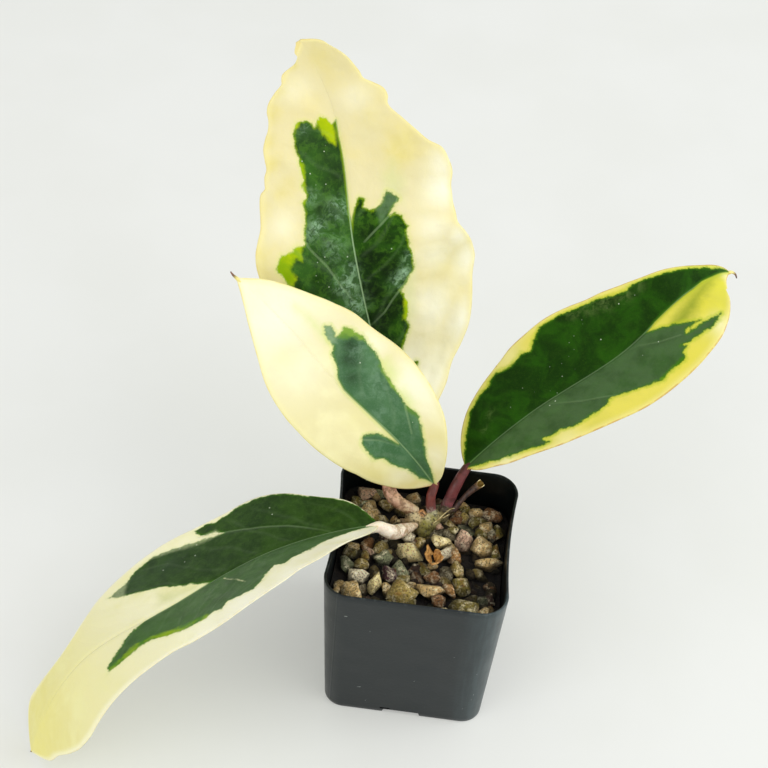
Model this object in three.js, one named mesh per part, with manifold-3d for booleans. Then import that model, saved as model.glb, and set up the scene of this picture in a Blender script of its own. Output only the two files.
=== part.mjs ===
// Potted hoya: four large variegated leaves on a short crown in a small square pot of gritty mix.
// Millimetres, +Z up. The origin is the centre of the pot's foot, on the surface it stands on.
// -Y is the side seen from the front, +X is to the right.

import * as THREE from "three";
import { mergeVertices } from "three/addons/utils/BufferGeometryUtils.js";
import Module from "manifold-3d";

const wasm = await Module();
wasm.setup();

// Driving dimensions
const gap = 0.3; // clearance between pieces that touch on the real plant
const pot = {
  height: 60,
  topWidth: 55,
  footWidth: 49.3,
  topCorner: 7.8,
  footCorner: 7.3,
  wall: 0.8,
  floor: 0.9,
  sideBow: 1.1, // the left and right walls bend inward at the rim
  levels: 6,
  cornerSteps: 4,
  sideSteps: 4,
};
const notch = { width: 12.8, chamfer: 0.9, height: 1.7, depth: 9.5, hood: 0.8 };
const drainSlot = { width: 6, depth: 2.6, fromEdge: 6 };
const wallSlit = { left: -6.6, width: 3, bottom: 2.0, height: 0.7, depth: 3 };
const mix = { top: 51.7, fallX: 0.06, fallY: 0.055, bedDrop: 3, root: 1.4, levels: 3 };
const pebble = {
  pitch: 4.3,
  jitter: 0.6, // share of the pitch that a stone may lie off its place
  smallest: 1.5,
  spread: 1.2,
  reach: 24.6, // from the middle to the wall
  sink: 0.6,
  clearLarge: 0.75, // shares of a large and a small stone's size that may not meet
  clearSmall: 0.4,
  seed: 4217,
};
const stoneShape = { large: 1.08, small: 1, least: 0.86, uneven: 0.26, stretch: 1.25 };
const crown = { rootFoot: 24, rootRadius: 2.1, neckRadius: 2.9, sides: 10 };
const blade = {
  rows: 30,
  halfColumns: 4,
  midThick: 1.3,
  edgeThick: 0.8,
  rootHalf: 1.1,
  tipHalf: 0.45,
  waveSpread: 0.7, // power that lets the wave of the margin reach near both ends
  otherPhase: -1.3, // the wave's phase on the minus side, as a share of that on the plus side
};

// Places along a blade, from its base to its tip, where the half widths are given
const stations = [0, 0.04, 0.1, 0.17, 0.24, 0.32, 0.4, 0.48, 0.56, 0.64, 0.72, 0.8, 0.87, 0.93, 0.97, 1];

// Each blade: five points of the midrib, the way its upper face looks at base, middle and tip,
// half widths on the two sides, the rise of the sides from the midrib (fold) and their cupping,
// and the wave of the margin (height, number of waves, phase).
const leaves = {
  leaf_left: {
    midrib: [
      [-13.4, -0.2, 62.2], [-43.4, -13.2, 59.8], [-71, -28, 46.5], [-96, -46.5, 36.5], [-110, -56.3, 0.8],
    ],
    face: [[0.11, 0.33, 0.94], [-0.4, 0.27, 0.88], [-0.82, -0.55, 0.1]],
    minusSide: [8.5, 14, 18, 24, 28.5, 30, 28.5, 26.5, 26, 26, 26, 19.5, 12.5, 8.5],
    plusSide: [9.5, 15, 20.5, 24.5, 28, 30.5, 33, 30, 24.5, 18, 14, 13.5, 13.5, 12.5],
    fold: [0.35, -0.21],
    cup: 0,
    wave: [0.5, 3, 0.4],
    colour: 0xe9e6b0,
  },
  leaf_front: {
    midrib: [[1.5, 18, 61.3], [-11, 19.5, 78], [-29, 26.5, 90], [-46.5, 36, 102.5], [-64, 40, 118]],
    face: [[0.22, -0.9, -0.37], [0.05, -0.8, 0.6], [0.66, -0.5, 0.56]],
    minusSide: [7, 12, 15, 16.5, 17.8, 18.4, 18.5, 17.9, 17, 15.2, 12.2, 8.8, 4.9, 2.1],
    plusSide: [4.5, 8.7, 13.3, 17.2, 20.2, 21, 20.4, 19, 17.3, 14.8, 11.4, 8.2, 4.8, 1.9],
    fold: [0.25, 0.07],
    cup: -0.04,
    wave: [0.35, 2.5, 0.3],
    colour: 0xf2efbe,
  },
  leaf_back: {
    midrib: [[-10, 27, 64.6], [-22, 49.5, 86.5], [-32, 63, 115.5], [-40, 80.5, 144], [-54, 89.5, 169]],
    face: [[0.33, -0.64, 0.7], [0.32, -0.77, 0.54], [-0.12, -0.91, 0.41]],
    minusSide: [8, 16.5, 26, 30.5, 31.5, 31, 30.5, 28, 26, 23.5, 21.5, 18, 10, 3.5],
    plusSide: [7, 15.5, 23, 30.5, 35.5, 37.5, 35, 32.5, 32, 23.5, 16.5, 12, 11, 7.5],
    fold: [-0.04, 0.21],
    cup: -0.07,
    wave: [1.4, 4.5, 0.6],
    colour: 0xf0ebb8,
  },
  leaf_right: {
    midrib: [[10.1, 23.6, 65.6], [28, 37, 79.5], [53, 53.5, 93], [70.5, 69.5, 106.5], [85, 85.5, 102.5]],
    face: [[-0.38, -0.28, 0.88], [-0.34, -0.28, 0.9], [0.15, -0.39, 0.91]],
    minusSide: [7, 13, 17, 20, 22.8, 24.8, 24, 20.8, 16, 12.3, 8.7, 5.3, 3.3, 1.8],
    plusSide: [5.5, 9.5, 13.5, 16.7, 19, 20.5, 22, 21.4, 20.8, 18.5, 14.2, 8.8, 3.2, 1],
    fold: [0.24, 0.11],
    cup: -0.05,
    wave: [0.5, 3.5, 1],
    colour: 0x3f6b2e,
  },
};

// Leaf stalks and the old stub: points along the middle, radii at the start, middle and end.
// A leaf stalk runs on to the base of the blade that it carries.
const stalks = {
  petiole_left: {
    path: [[-2.4, 8.9, 52.7], [-5.8, 4.6, 55.4], [-8.8, 1.4, 57.4], [-11.2, -0.4, 59.9]],
    carries: "leaf_left",
    radii: [1.9, 2.5, 1.5],
    colour: 0xe6cdb4,
  },
  petiole_back: {
    path: [
      [-3.2, 13, 54], [-5.9, 12.9, 55.8], [-8.9, 13.4, 57.2], [-11.4, 15.3, 58.4], [-12.4, 18.8, 60.3],
      [-12, 22.8, 62.2],
    ],
    carries: "leaf_back",
    radii: [1.8, 2.1, 1.6],
    colour: 0xb98073,
  },
  petiole_front: {
    path: [[2.2, 14, 51.8], [1.7, 15, 55.5], [1.4, 16.2, 58.5]],
    carries: "leaf_front",
    radii: [1.7, 1.5, 1.5],
    colour: 0x8c4a4a,
  },
  petiole_right: {
    path: [[5.4, 17, 51.6], [6.6, 18.2, 55.5], [8.1, 20, 60.5]],
    carries: "leaf_right",
    radii: [1.7, 1.8, 1.6],
    colour: 0x7a3c42,
  },
  dry_stub: {
    path: [[8.3, 16.7, 52.6], [10, 18.4, 54.9], [12.3, 20.6, 57.2], [16, 23.1, 60]],
    radii: [0.95, 0.85, 1.25],
    colour: 0x5a3f2c,
  },
};
const stubBore = { radius: 0.75, depth: 2.4 };

// Knobs of the crown: centre and radius
const knobs = [
  [1.2, 12.4, 50.6, 3.5],
  [-1.6, 11.4, 51.6, 2.4],
  [4.4, 16.2, 50.3, 2.8],
  [0, 9, 50.7, 2.4],
  [6.6, 17.6, 51, 1.7],
];

// Large stones that show, placed by hand: x, y, top, half length, half width, turn
const largeStones = [
  [-3.1, -0.2, 52.6, 4.7, 2.9, -35],
  [-10.9, -3.8, 53, 3, 1.9, 10],
  [-5.8, -7.5, 53, 2.3, 3.3, 20],
  [5.3, 5.2, 53, 3.2, 2, -20],
  [7, 0.6, 53, 3.1, 2, 45],
  [10.6, 0.6, 52.2, 1.8, 2.8, -10],
  [12.9, 8.2, 52.4, 2.9, 3.3, 15],
  [18.6, 6.4, 52, 3.1, 2.9, 30],
  [22.2, 6, 50, 1.9, 2.9, 0],
  [20.6, -0.2, 52, 4, 1.8, 4],
  [-18.2, -13.1, 55, 3.3, 2.7, 8],
  [-18.7, -19.6, 55, 3.6, 3.4, -25],
  [-12.1, -14.9, 55, 1.8, 3.5, -12],
  [-8.3, -10.2, 53.4, 2.2, 2.7, 40],
  [-4.6, -16.9, 55, 4.3, 3.9, 35],
  [3.8, -14.8, 54, 4.2, 2, -6],
  [6.8, -18.4, 54, 2.2, 2.6, 10],
  [10, -13, 53, 2.6, 1.7, -40],
  [13.6, -9.8, 53, 2.9, 3, 55],
  [11.9, -4.1, 52, 1.6, 2.6, 25],
  [15.6, -19.4, 54, 4.4, 3.6, -30],
  [-19.2, 20.8, 52, 3, 2.5, -10],
  [-12.6, 8, 51.6, 2.6, 1.7, -50],
  [20.2, 20.6, 49.6, 3.1, 2.3, 12],
];

// Small helpers
const quarterTurn = Math.PI / 2;
const upward = new THREE.Vector3(0, 0, 1);
const tolerance = 1e-4;
const lerp = (a, b, t) => a + (b - a) * t;

function randomFrom(seed) {
  let state = seed;
  return () => {
    state = (state * 16807) % 2147483647;
    return state / 2147483647;
  };
}

// A smooth curve through values at given knots, for numbers or for points
function through(knots, values, t) {
  const last = knots.length - 1;
  const rate = (a, b) => (values[b] - values[a]) / (knots[b] - knots[a]);
  const slope = (i) => {
    if (i === 0) return 2 * rate(0, 1) - slope(1);
    if (i === last) return 2 * rate(last - 1, last) - slope(last - 1);
    return rate(i - 1, i + 1);
  };
  let i = 0;
  while (i < last - 1 && t > knots[i + 1]) i += 1;
  const h = knots[i + 1] - knots[i];
  const u = (t - knots[i]) / h;
  const rise = u * u * (3 - 2 * u);
  const bend = u * (1 - u) * h;
  return lerp(values[i], values[i + 1], rise) + bend * ((1 - u) * slope(i) - u * slope(i + 1));
}

function pointThrough(points, t) {
  const knots = points.map((_, i) => i / (points.length - 1));
  const part = (axis) => through(knots, points.map((p) => p[axis]), t);
  return new THREE.Vector3(part(0), part(1), part(2));
}

// A closed skin over rings of equal point count, each ring running anticlockwise seen from the last
function loft(rings) {
  const count = rings[0].length;
  const positions = rings.flat().flatMap((p) => [p.x, p.y, p.z]);
  const index = [];
  for (let r = 0; r < rings.length - 1; r += 1) {
    for (let i = 0; i < count; i += 1) {
      const a = r * count + i;
      const b = r * count + ((i + 1) % count);
      index.push(a, b, b + count, a, b + count, a + count);
    }
  }
  const cap = (ring, first, flip) => {
    const centre = ring.reduce((sum, p) => sum.add(p), new THREE.Vector3()).divideScalar(count);
    const middle = positions.length / 3;
    positions.push(centre.x, centre.y, centre.z);
    for (let i = 0; i < count; i += 1) {
      const a = first + i;
      const b = first + ((i + 1) % count);
      if (flip) index.push(middle, b, a);
      else index.push(middle, a, b);
    }
  };
  cap(rings[0], 0, true);
  cap(rings[rings.length - 1], (rings.length - 1) * count, false);
  const geometry = new THREE.BufferGeometry();
  geometry.setAttribute("position", new THREE.Float32BufferAttribute(positions, 3));
  geometry.setIndex(index);
  return geometry;
}

function toSolid(geometry) {
  const bare = geometry.clone();
  bare.deleteAttribute("normal");
  bare.deleteAttribute("uv");
  const merged = mergeVertices(bare, tolerance);
  return new wasm.Manifold(new wasm.Mesh({
    numProp: 3,
    vertProperties: new Float32Array(merged.attributes.position.array),
    triVerts: new Uint32Array(merged.index.array),
  }));
}

function toGeometry(solid) {
  const mesh = solid.getMesh();
  const geometry = new THREE.BufferGeometry();
  geometry.setAttribute("position", new THREE.Float32BufferAttribute(mesh.vertProperties, 3));
  geometry.setIndex([...mesh.triVerts]);
  return geometry;
}

function boxSolid(low, high) {
  const box = new THREE.BoxGeometry(high[0] - low[0], high[1] - low[1], high[2] - low[2]);
  box.translate((low[0] + high[0]) / 2, (low[1] + high[1]) / 2, (low[2] + high[2]) / 2);
  return toSolid(box);
}

const joined = (solids) => solids.reduce((sum, next) => sum.add(next));
const onAllSides = (solid) => joined([0, 90, 180, 270].map((turn) => solid.rotate([0, 0, turn])));

// Pot: a rounded square that widens upward, its left and right walls bowed inward toward the rim
function potRing(z, inset) {
  const t = z / pot.height;
  const half = lerp(pot.footWidth, pot.topWidth, t) / 2 - inset;
  const corner = lerp(pot.footCorner, pot.topCorner, t) - inset;
  const straight = half - corner;
  const ring = [];
  for (let side = 0; side < 4; side += 1) {
    const place = (x, y) => {
      const p = new THREE.Vector3(x, y, z).applyAxisAngle(upward, side * quarterTurn);
      const along = Math.max(0, 1 - (p.y / straight) ** 2);
      if (Math.abs(p.x) > straight) p.x -= Math.sign(p.x) * pot.sideBow * along * t * t;
      return p;
    };
    for (let i = 0; i < pot.sideSteps; i += 1) {
      ring.push(place(half, lerp(-straight, straight, i / pot.sideSteps)));
    }
    for (let i = 0; i < pot.cornerSteps; i += 1) {
      const angle = (i / pot.cornerSteps) * quarterTurn;
      ring.push(place(straight + corner * Math.cos(angle), straight + corner * Math.sin(angle)));
    }
  }
  return ring;
}

function potBody(low, high, inset, levels) {
  const rings = [];
  for (let i = 0; i <= levels; i += 1) rings.push(potRing(lerp(low, high, i / levels), inset));
  return toSolid(loft(rings));
}

// The four drain notches at the middle of each side, grown by a margin on every face
function notches(grow) {
  const outline = new THREE.Shape();
  const half = notch.width / 2 + grow;
  const top = notch.height + grow;
  outline.moveTo(-half, -1);
  outline.lineTo(half, -1);
  outline.lineTo(half, 0);
  outline.lineTo(half - notch.chamfer, top);
  outline.lineTo(-half + notch.chamfer, top);
  outline.lineTo(-half, 0);
  const reach = 3; // how far the cutting prism stands out of the wall
  const depth = notch.depth + reach + grow;
  const prism = new THREE.ExtrudeGeometry(outline, { depth, bevelEnabled: false, steps: 1 });
  prism.rotateX(quarterTurn);
  prism.translate(0, -pot.footWidth / 2 + notch.depth + grow, 0);
  return onAllSides(toSolid(prism));
}

function makePot() {
  const outer = potBody(0, pot.height, 0, pot.levels);
  const cavity = potBody(pot.floor, pot.height + 1, pot.wall, pot.levels);
  const hoods = notches(notch.hood).intersect(potBody(0, pot.height / 4, pot.wall / 2, 1));
  const slot = boxSolid(
    [-drainSlot.width / 2, -pot.footWidth / 2 + drainSlot.fromEdge, 0],
    [drainSlot.width / 2, -pot.footWidth / 2 + drainSlot.fromEdge + drainSlot.depth, notch.height + 2],
  );
  const front = -pot.footWidth / 2 - 1;
  const slit = boxSolid(
    [wallSlit.left, front, wallSlit.bottom],
    [wallSlit.left + wallSlit.width, front + wallSlit.depth, wallSlit.bottom + wallSlit.height],
  );
  return outer.subtract(cavity).add(hoods).subtract(notches(0)).subtract(onAllSides(slot)).subtract(slit);
}

// The way a blade's midrib runs and its upper face looks at a place along it
function bladeFrame(leaf, s) {
  const step = 1e-3;
  const centre = pointThrough(leaf.midrib, s);
  const ahead = pointThrough(leaf.midrib, Math.min(1, s + step));
  const behind = pointThrough(leaf.midrib, Math.max(0, s - step));
  const along = ahead.sub(behind).normalize();
  const weights = [(1 - s) * (1 - 2 * s), 4 * s * (1 - s), s * (2 * s - 1)];
  const up = new THREE.Vector3();
  leaf.face.forEach((f, i) => up.addScaledVector(new THREE.Vector3(...f), weights[i]));
  up.addScaledVector(along, -up.dot(along)).normalize();
  return { centre, along, up, across: new THREE.Vector3().crossVectors(along, up) };
}

// Stalks: round rods along a smooth path, their radius given at start, middle and end
function rod(stalk, grow, sides = 10, steps = 12) {
  const points = stalk.path.map((p) => new THREE.Vector3(...p));
  const base = stalk.carries && bladeFrame(leaves[stalk.carries], 0);
  if (base) points.push(base.centre.clone().addScaledVector(base.up, -blade.midThick / 2));
  const curve = new THREE.CatmullRomCurve3(points, false, "centripetal");
  const frames = curve.computeFrenetFrames(steps, false);
  const rings = [];
  for (let i = 0; i <= steps; i += 1) {
    const t = i / steps;
    const centre = curve.getPointAt(t);
    if (i === 0) centre.addScaledVector(frames.tangents[0], -grow);
    if (i === steps) centre.addScaledVector(frames.tangents[steps], grow);
    const radius = through([0, 0.5, 1], stalk.radii, t) + grow;
    const ring = [];
    for (let k = 0; k < sides; k += 1) {
      const angle = (k / sides) * 2 * Math.PI;
      ring.push(centre.clone()
        .addScaledVector(frames.normals[i], radius * Math.cos(angle))
        .addScaledVector(frames.binormals[i], radius * Math.sin(angle)));
    }
    rings.push(ring);
  }
  const body = toSolid(loft(rings));
  if (!base) return body;
  return body.trimByPlane(base.along.clone().negate().toArray(), gap - base.centre.dot(base.along));
}

const allStalks = (grow) => joined(Object.values(stalks).map((stalk) => rod(stalk, grow)));

// The old stub's dried end is hollow
function hollowEnd(stalk) {
  const [before, end] = stalk.path.slice(-2).map((p) => new THREE.Vector3(...p));
  const outward = end.clone().sub(before).normalize();
  const inner = end.clone().addScaledVector(outward, -stubBore.depth);
  const bore = {
    path: [inner.toArray(), end.clone().add(outward).toArray()],
    radii: [stubBore.radius, stubBore.radius, stubBore.radius],
  };
  return rod(stalk, 0).subtract(rod(bore, 0, 8, 2));
}

// Crown: a buried foot with knobs on top, hollowed a little where each stalk springs from it
function crownBody(grow) {
  const foot = new THREE.Vector3(knobs[0][0], knobs[0][1], crown.rootFoot - grow);
  const rings = [0, 0.5, 1].map((t) => {
    const radius = lerp(crown.rootRadius, crown.neckRadius, t) + grow;
    const z = lerp(foot.z, knobs[0][2], t);
    return Array.from({ length: crown.sides }, (_, k) => {
      const spoke = new THREE.Vector3(radius, 0, 0).applyAxisAngle(upward, (k / crown.sides) * 2 * Math.PI);
      return spoke.add(new THREE.Vector3(foot.x, foot.y, z));
    });
  });
  let body = toSolid(loft(rings));
  for (const [x, y, z, radius] of knobs) {
    const ball = new THREE.IcosahedronGeometry(radius + grow, 1);
    ball.translate(x, y, z);
    body = body.add(toSolid(ball));
  }
  return body;
}

// A stone: a faceted ball with uneven corners, stretched, turned, its top at a height and its root in the bed
function stoneSolid([x, y, top, length, width, turn], random, shape) {
  const height = (top - mixHeight(x, y) + mix.bedDrop + mix.root) / 2;
  shape.deleteAttribute("normal");
  shape.deleteAttribute("uv");
  const ball = mergeVertices(shape, tolerance);
  const corner = ball.attributes.position;
  const point = new THREE.Vector3();
  for (let i = 0; i < corner.count; i += 1) {
    const uneven = stoneShape.least + stoneShape.uneven * random();
    point.fromBufferAttribute(corner, i).multiplyScalar(uneven);
    corner.setXYZ(i, point.x * length, point.y * width, point.z * height);
  }
  ball.rotateZ(THREE.MathUtils.degToRad(turn));
  ball.translate(x, y, top - height);
  return toSolid(ball);
}

const mixHeight = (x, y) => mix.top - mix.fallX * x - mix.fallY * y;

// Small stones on a jittered grid, left out where a large stone, the crown or the wall is
function smallStones(random) {
  const stones = [];
  const cells = Math.floor(pebble.reach / pebble.pitch);
  for (let row = -cells; row <= cells; row += 1) {
    for (let column = -cells; column <= cells; column += 1) {
      const x = (column + pebble.jitter * (random() - 0.5)) * pebble.pitch;
      const y = (row + pebble.jitter * (random() - 0.5)) * pebble.pitch;
      const size = pebble.smallest + pebble.spread * random();
      const turn = 180 * random();
      const lift = random() - 0.5;
      const reaches = (s) => pebble.clearLarge * Math.max(s[3], s[4]) + pebble.clearSmall * size;
      const covered = largeStones.some((s) => Math.hypot(s[0] - x, s[1] - y) < reaches(s));
      const outside = Math.abs(x) > pebble.reach - size || Math.abs(y) > pebble.reach - size;
      if (!covered && !outside) {
        stones.push([x, y, mixHeight(x, y) - pebble.sink + lift, size * stoneShape.stretch, size, turn]);
      }
    }
  }
  return stones;
}

function makeMix() {
  const random = randomFrom(pebble.seed);
  const inset = pot.wall + gap;
  const low = pot.floor + gap;
  let body = potBody(low, pot.height - 1, inset, mix.levels);
  const above = 40; // size of the block that clears what lies over the bed, wider than the pot
  const bed = new THREE.BoxGeometry(2 * above, 2 * above, above);
  bed.translate(0, 0, above / 2);
  bed.rotateY(Math.atan(mix.fallX));
  bed.rotateX(-Math.atan(mix.fallY));
  bed.translate(0, 0, mix.top - mix.bedDrop);
  body = body.subtract(toSolid(bed));
  const small = smallStones(random);
  for (const stone of largeStones) {
    body = body.add(stoneSolid(stone, random, new THREE.DodecahedronGeometry(stoneShape.large)));
  }
  for (const stone of small) {
    body = body.add(stoneSolid(stone, random, new THREE.IcosahedronGeometry(stoneShape.small)));
  }
  const inside = potBody(low, pot.height - 1, inset, mix.levels);
  body = body.intersect(inside).subtract(notches(notch.hood + gap));
  return body.subtract(crownBody(gap)).subtract(allStalks(gap));
}

// Blade: rows of points across the upper face, the lower face a little under it, split alike
function bladeGeometry(leaf) {
  const rows = [];
  for (let r = 0; r <= blade.rows; r += 1) {
    const s = r / blade.rows;
    const { centre, up, across } = bladeFrame(leaf, s);
    const widest = Math.max(...leaf.minusSide, ...leaf.plusSide);
    const fold = lerp(leaf.fold[0], leaf.fold[1], s);
    const least = lerp(blade.rootHalf, blade.tipHalf, s);
    const [waveHeight, waveCount, wavePhase] = leaf.wave;
    const row = { upper: [], lower: [] };
    for (let c = -blade.halfColumns; c <= blade.halfColumns; c += 1) {
      const v = c / blade.halfColumns;
      const half = Math.max(least, through(stations, [0, ...(v > 0 ? leaf.plusSide : leaf.minusSide), 0], s));
      const side = v * half;
      const phase = v > 0 ? wavePhase : blade.otherPhase * wavePhase;
      const swell = waveHeight * v * v * Math.sin(Math.PI * s) ** blade.waveSpread;
      const wave = swell * Math.sin(2 * Math.PI * waveCount * s + phase);
      const rise = Math.abs(side) * fold + (leaf.cup * side * side) / widest + wave;
      const thick = lerp(blade.midThick, blade.edgeThick, Math.abs(v));
      const top = centre.clone().addScaledVector(across, side).addScaledVector(up, rise);
      row.upper.push(top);
      row.lower.push(top.clone().addScaledVector(up, -thick));
    }
    rows.push(row);
  }
  return bladeSkin(rows);
}

function bladeSkin(rows) {
  const width = 2 * blade.halfColumns + 1;
  const faceCount = rows.length * width;
  const positions = [];
  for (const part of ["upper", "lower"]) {
    for (const row of rows) for (const p of row[part]) positions.push(p.x, p.y, p.z);
  }
  const index = [];
  const quad = (a, b, c, d) => index.push(a, b, c, a, c, d);
  for (let r = 0; r < rows.length - 1; r += 1) {
    for (let c = 0; c < width - 1; c += 1) {
      const a = r * width + c;
      index.push(a, a + 1, a + width + 1, a, a + width + 1, a + width);
      const b = a + faceCount;
      index.push(b, b + width + 1, b + 1, b, b + width, b + width + 1);
    }
    const left = r * width;
    const right = left + width - 1;
    quad(left, left + width, left + width + faceCount, left + faceCount);
    quad(right, right + faceCount, right + width + faceCount, right + width);
  }
  const last = (rows.length - 1) * width;
  for (let c = 0; c < width - 1; c += 1) {
    quad(c, c + faceCount, c + 1 + faceCount, c + 1);
    quad(last + c, last + c + 1, last + c + 1 + faceCount, last + c + faceCount);
  }
  const geometry = new THREE.BufferGeometry();
  geometry.setAttribute("position", new THREE.Float32BufferAttribute(positions, 3));
  geometry.setIndex(index);
  return geometry;
}

function addMesh(group, name, geometry, colour, roughness) {
  const material = new THREE.MeshStandardMaterial({ color: colour, roughness, metalness: 0 });
  const mesh = new THREE.Mesh(geometry, material);
  mesh.name = name;
  group.add(mesh);
}

const plant = new THREE.Group();
addMesh(plant, "pot", toGeometry(makePot()), 0x2c3033, 0.4);
addMesh(plant, "potting_mix", toGeometry(makeMix()), 0x8d8163, 0.95);
addMesh(plant, "stem", toGeometry(crownBody(0).subtract(allStalks(gap))), 0x9a8f5c, 0.8);
for (const [name, stalk] of Object.entries(stalks)) {
  const body = name === "dry_stub" ? hollowEnd(stalk) : rod(stalk, 0);
  addMesh(plant, name, toGeometry(body), stalk.colour, 0.6);
}
for (const [name, leaf] of Object.entries(leaves)) {
  addMesh(plant, name, bladeGeometry(leaf), leaf.colour, 0.45);
}

export default plant;
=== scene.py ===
import math

import bpy
import numpy as np
from mathutils import Matrix, Vector, noise


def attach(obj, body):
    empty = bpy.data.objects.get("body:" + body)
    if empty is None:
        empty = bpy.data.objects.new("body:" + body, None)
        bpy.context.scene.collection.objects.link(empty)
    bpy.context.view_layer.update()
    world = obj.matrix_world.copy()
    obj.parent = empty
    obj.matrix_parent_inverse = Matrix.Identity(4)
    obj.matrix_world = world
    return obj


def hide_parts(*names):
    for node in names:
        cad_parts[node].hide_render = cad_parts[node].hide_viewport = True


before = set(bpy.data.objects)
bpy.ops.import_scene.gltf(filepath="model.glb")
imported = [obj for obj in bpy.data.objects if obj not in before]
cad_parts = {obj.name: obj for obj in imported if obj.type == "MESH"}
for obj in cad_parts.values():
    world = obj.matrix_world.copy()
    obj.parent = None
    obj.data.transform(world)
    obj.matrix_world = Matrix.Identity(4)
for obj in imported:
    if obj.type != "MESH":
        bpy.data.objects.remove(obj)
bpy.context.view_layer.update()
print("frame loaded:", len(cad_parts), "nodes")

mm = 0.001


# Small tools for objects and meshes
def activate(*things):  # selects these alone, with the first one active
    bpy.ops.object.select_all(action="DESELECT")
    for thing in things:
        thing.select_set(True)
    bpy.context.view_layer.objects.active = things[0]


def lastAdded(name):
    made = bpy.context.object
    made.name = name
    made.data.name = name
    return made


def modify(thing, kind, **settings):
    activate(thing)
    modifier = thing.modifiers.new(kind.lower(), kind)
    for key, value in settings.items():
        setattr(modifier, key, value)
    bpy.ops.object.modifier_apply(modifier=modifier.name)


def bakePlace(thing):
    activate(thing)
    bpy.ops.object.transform_apply(location=True, rotation=True, scale=True)


def pointsOf(thing):
    flat = np.zeros(len(thing.data.vertices) * 3)
    thing.data.vertices.foreach_get("co", flat)
    return flat.reshape(-1, 3)


def movePoints(thing, points):
    thing.data.vertices.foreach_set("co", np.asarray(points, float).ravel())
    thing.data.update()


def paintPoints(thing, name, values):  # a number or a colour for each point
    values = np.asarray(values, np.float32)
    kind, field = ("FLOAT", "value") if values.ndim == 1 else ("FLOAT_COLOR", "color")
    layer = thing.data.attributes.get(name) or thing.data.attributes.new(name, kind, "POINT")
    layer.data.foreach_set(field, values.ravel())


def editWhole(thing, operator, **settings):
    activate(thing)
    bpy.ops.object.mode_set(mode="EDIT")
    bpy.ops.mesh.select_all(action="SELECT")
    operator(**settings)
    bpy.ops.object.mode_set(mode="OBJECT")


def facesOutward(thing):
    editWhole(thing, bpy.ops.mesh.normals_make_consistent, inside=False)


def mergeDoubles(thing, distance):
    editWhole(thing, bpy.ops.mesh.remove_doubles, threshold=distance)


def smooth(thing, degrees=180):
    activate(thing)
    if degrees < 180:
        bpy.ops.object.shade_smooth_by_angle(angle=math.radians(degrees))
    else:
        bpy.ops.object.shade_smooth()


def ownCopy(thing):  # a copy with its own mesh
    copy = thing.copy()
    copy.data = thing.data.copy()
    bpy.context.scene.collection.objects.link(copy)
    return copy


def joinAll(things, name):
    activate(*things)
    if len(things) > 1:
        bpy.ops.object.join()
    return lastAdded(name)


def finishPiece(thing, material, nodeName=None):
    thing.data.materials.clear()
    thing.data.materials.append(material)
    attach(thing, "root")
    if nodeName:
        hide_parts(nodeName)


# Small tools for numbers
def lerp(a, b, t):
    return a + (b - a) * t


def smoothStep(low, high, x):
    t = np.clip((x - low) / (high - low), 0, 1)
    return t * t * (3 - 2 * t)


def through(knots, values, t):  # a smooth curve through values at given knots
    knots = np.asarray(knots, float)
    values = np.asarray(values, float)
    last = len(knots) - 1
    slopes = np.zeros_like(values)
    for i in range(1, last):
        slopes[i] = (values[i + 1] - values[i - 1]) / (knots[i + 1] - knots[i - 1])
    for end, inner in ((0, 1), (last, last - 1)):
        slopes[end] = 2 * (values[inner] - values[end]) / (knots[inner] - knots[end]) - slopes[inner]
    t = np.asarray(t, float)
    i = np.clip(np.searchsorted(knots, t, side="left") - 1, 0, last - 1)
    h = knots[i + 1] - knots[i]
    u = (t - knots[i]) / h
    if values.ndim > 1:
        u = u[..., None]
        h = h[..., None]
    rise = u * u * (3 - 2 * u)
    bend = u * (1 - u) * h
    return lerp(values[i], values[i + 1], rise) + bend * ((1 - u) * slopes[i] - u * slopes[i + 1])


def unit(v):
    return v / np.linalg.norm(v, axis=-1, keepdims=True)


def reachAlong(path):  # the length of the path up to each of its points
    return np.concatenate([[0], np.cumsum(np.linalg.norm(np.diff(path, axis=0), axis=1))])


def nearestOn(path, points):  # which point of the path is nearest to each of the points
    return np.argmin(((points[:, None] - path[None]) ** 2).sum(2), 1)


class SeededDraw:  # the same run of numbers each time
    def __init__(self, seed):
        self.state = seed

    def __call__(self):
        self.state = (self.state * 16807) % 2147483647
        return self.state / 2147483647


def clouds(points, size, seed=0.0):  # smooth noise from -1 to 1 with features of about this size
    shift = Vector((seed * 3.7, seed * 1.9, seed * 5.3))
    return np.array([noise.noise(Vector(p) / size + shift) for p in points])


# Small tools for materials
def tone(red, green, blue):
    def linear(c):
        c = c / 255
        return c / 12.92 if c <= 0.04045 else ((c + 0.055) / 1.055) ** 2.4
    return (linear(red), linear(green), linear(blue), 1.0)


def newMaterial(name):
    material = bpy.data.materials.new(name)
    material.use_nodes = True
    tree = material.node_tree
    return material, tree, tree.nodes["Principled BSDF"]


def plug(tree, socket, value):
    if isinstance(value, bpy.types.NodeSocket):
        tree.links.new(value, socket)
    elif value is not None:
        socket.default_value = value


def node(tree, kind, plugs=None, **settings):
    made = tree.nodes.new("ShaderNode" + kind)
    for key, value in settings.items():
        setattr(made, key, value)
    for key, value in (plugs or {}).items():
        plug(tree, made.inputs[key], value)
    return made


def calc(tree, operation, a, b=None):
    return node(tree, "Math", {0: a, 1: b}, operation=operation).outputs[0]


def times(tree, a, b):
    return calc(tree, "MULTIPLY", a, b)


def total(tree, a, b):
    return calc(tree, "ADD", a, b)


def less(tree, a, b):
    return calc(tree, "SUBTRACT", a, b)


def mixTone(tree, factor, a, b):  # a and b are sockets, or red, green and blue up to 255
    a, b = (tone(*c) if isinstance(c, tuple) and len(c) == 3 else c for c in (a, b))
    return node(tree, "Mix", {0: factor, 6: a, 7: b}, data_type="RGBA").outputs[2]


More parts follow.
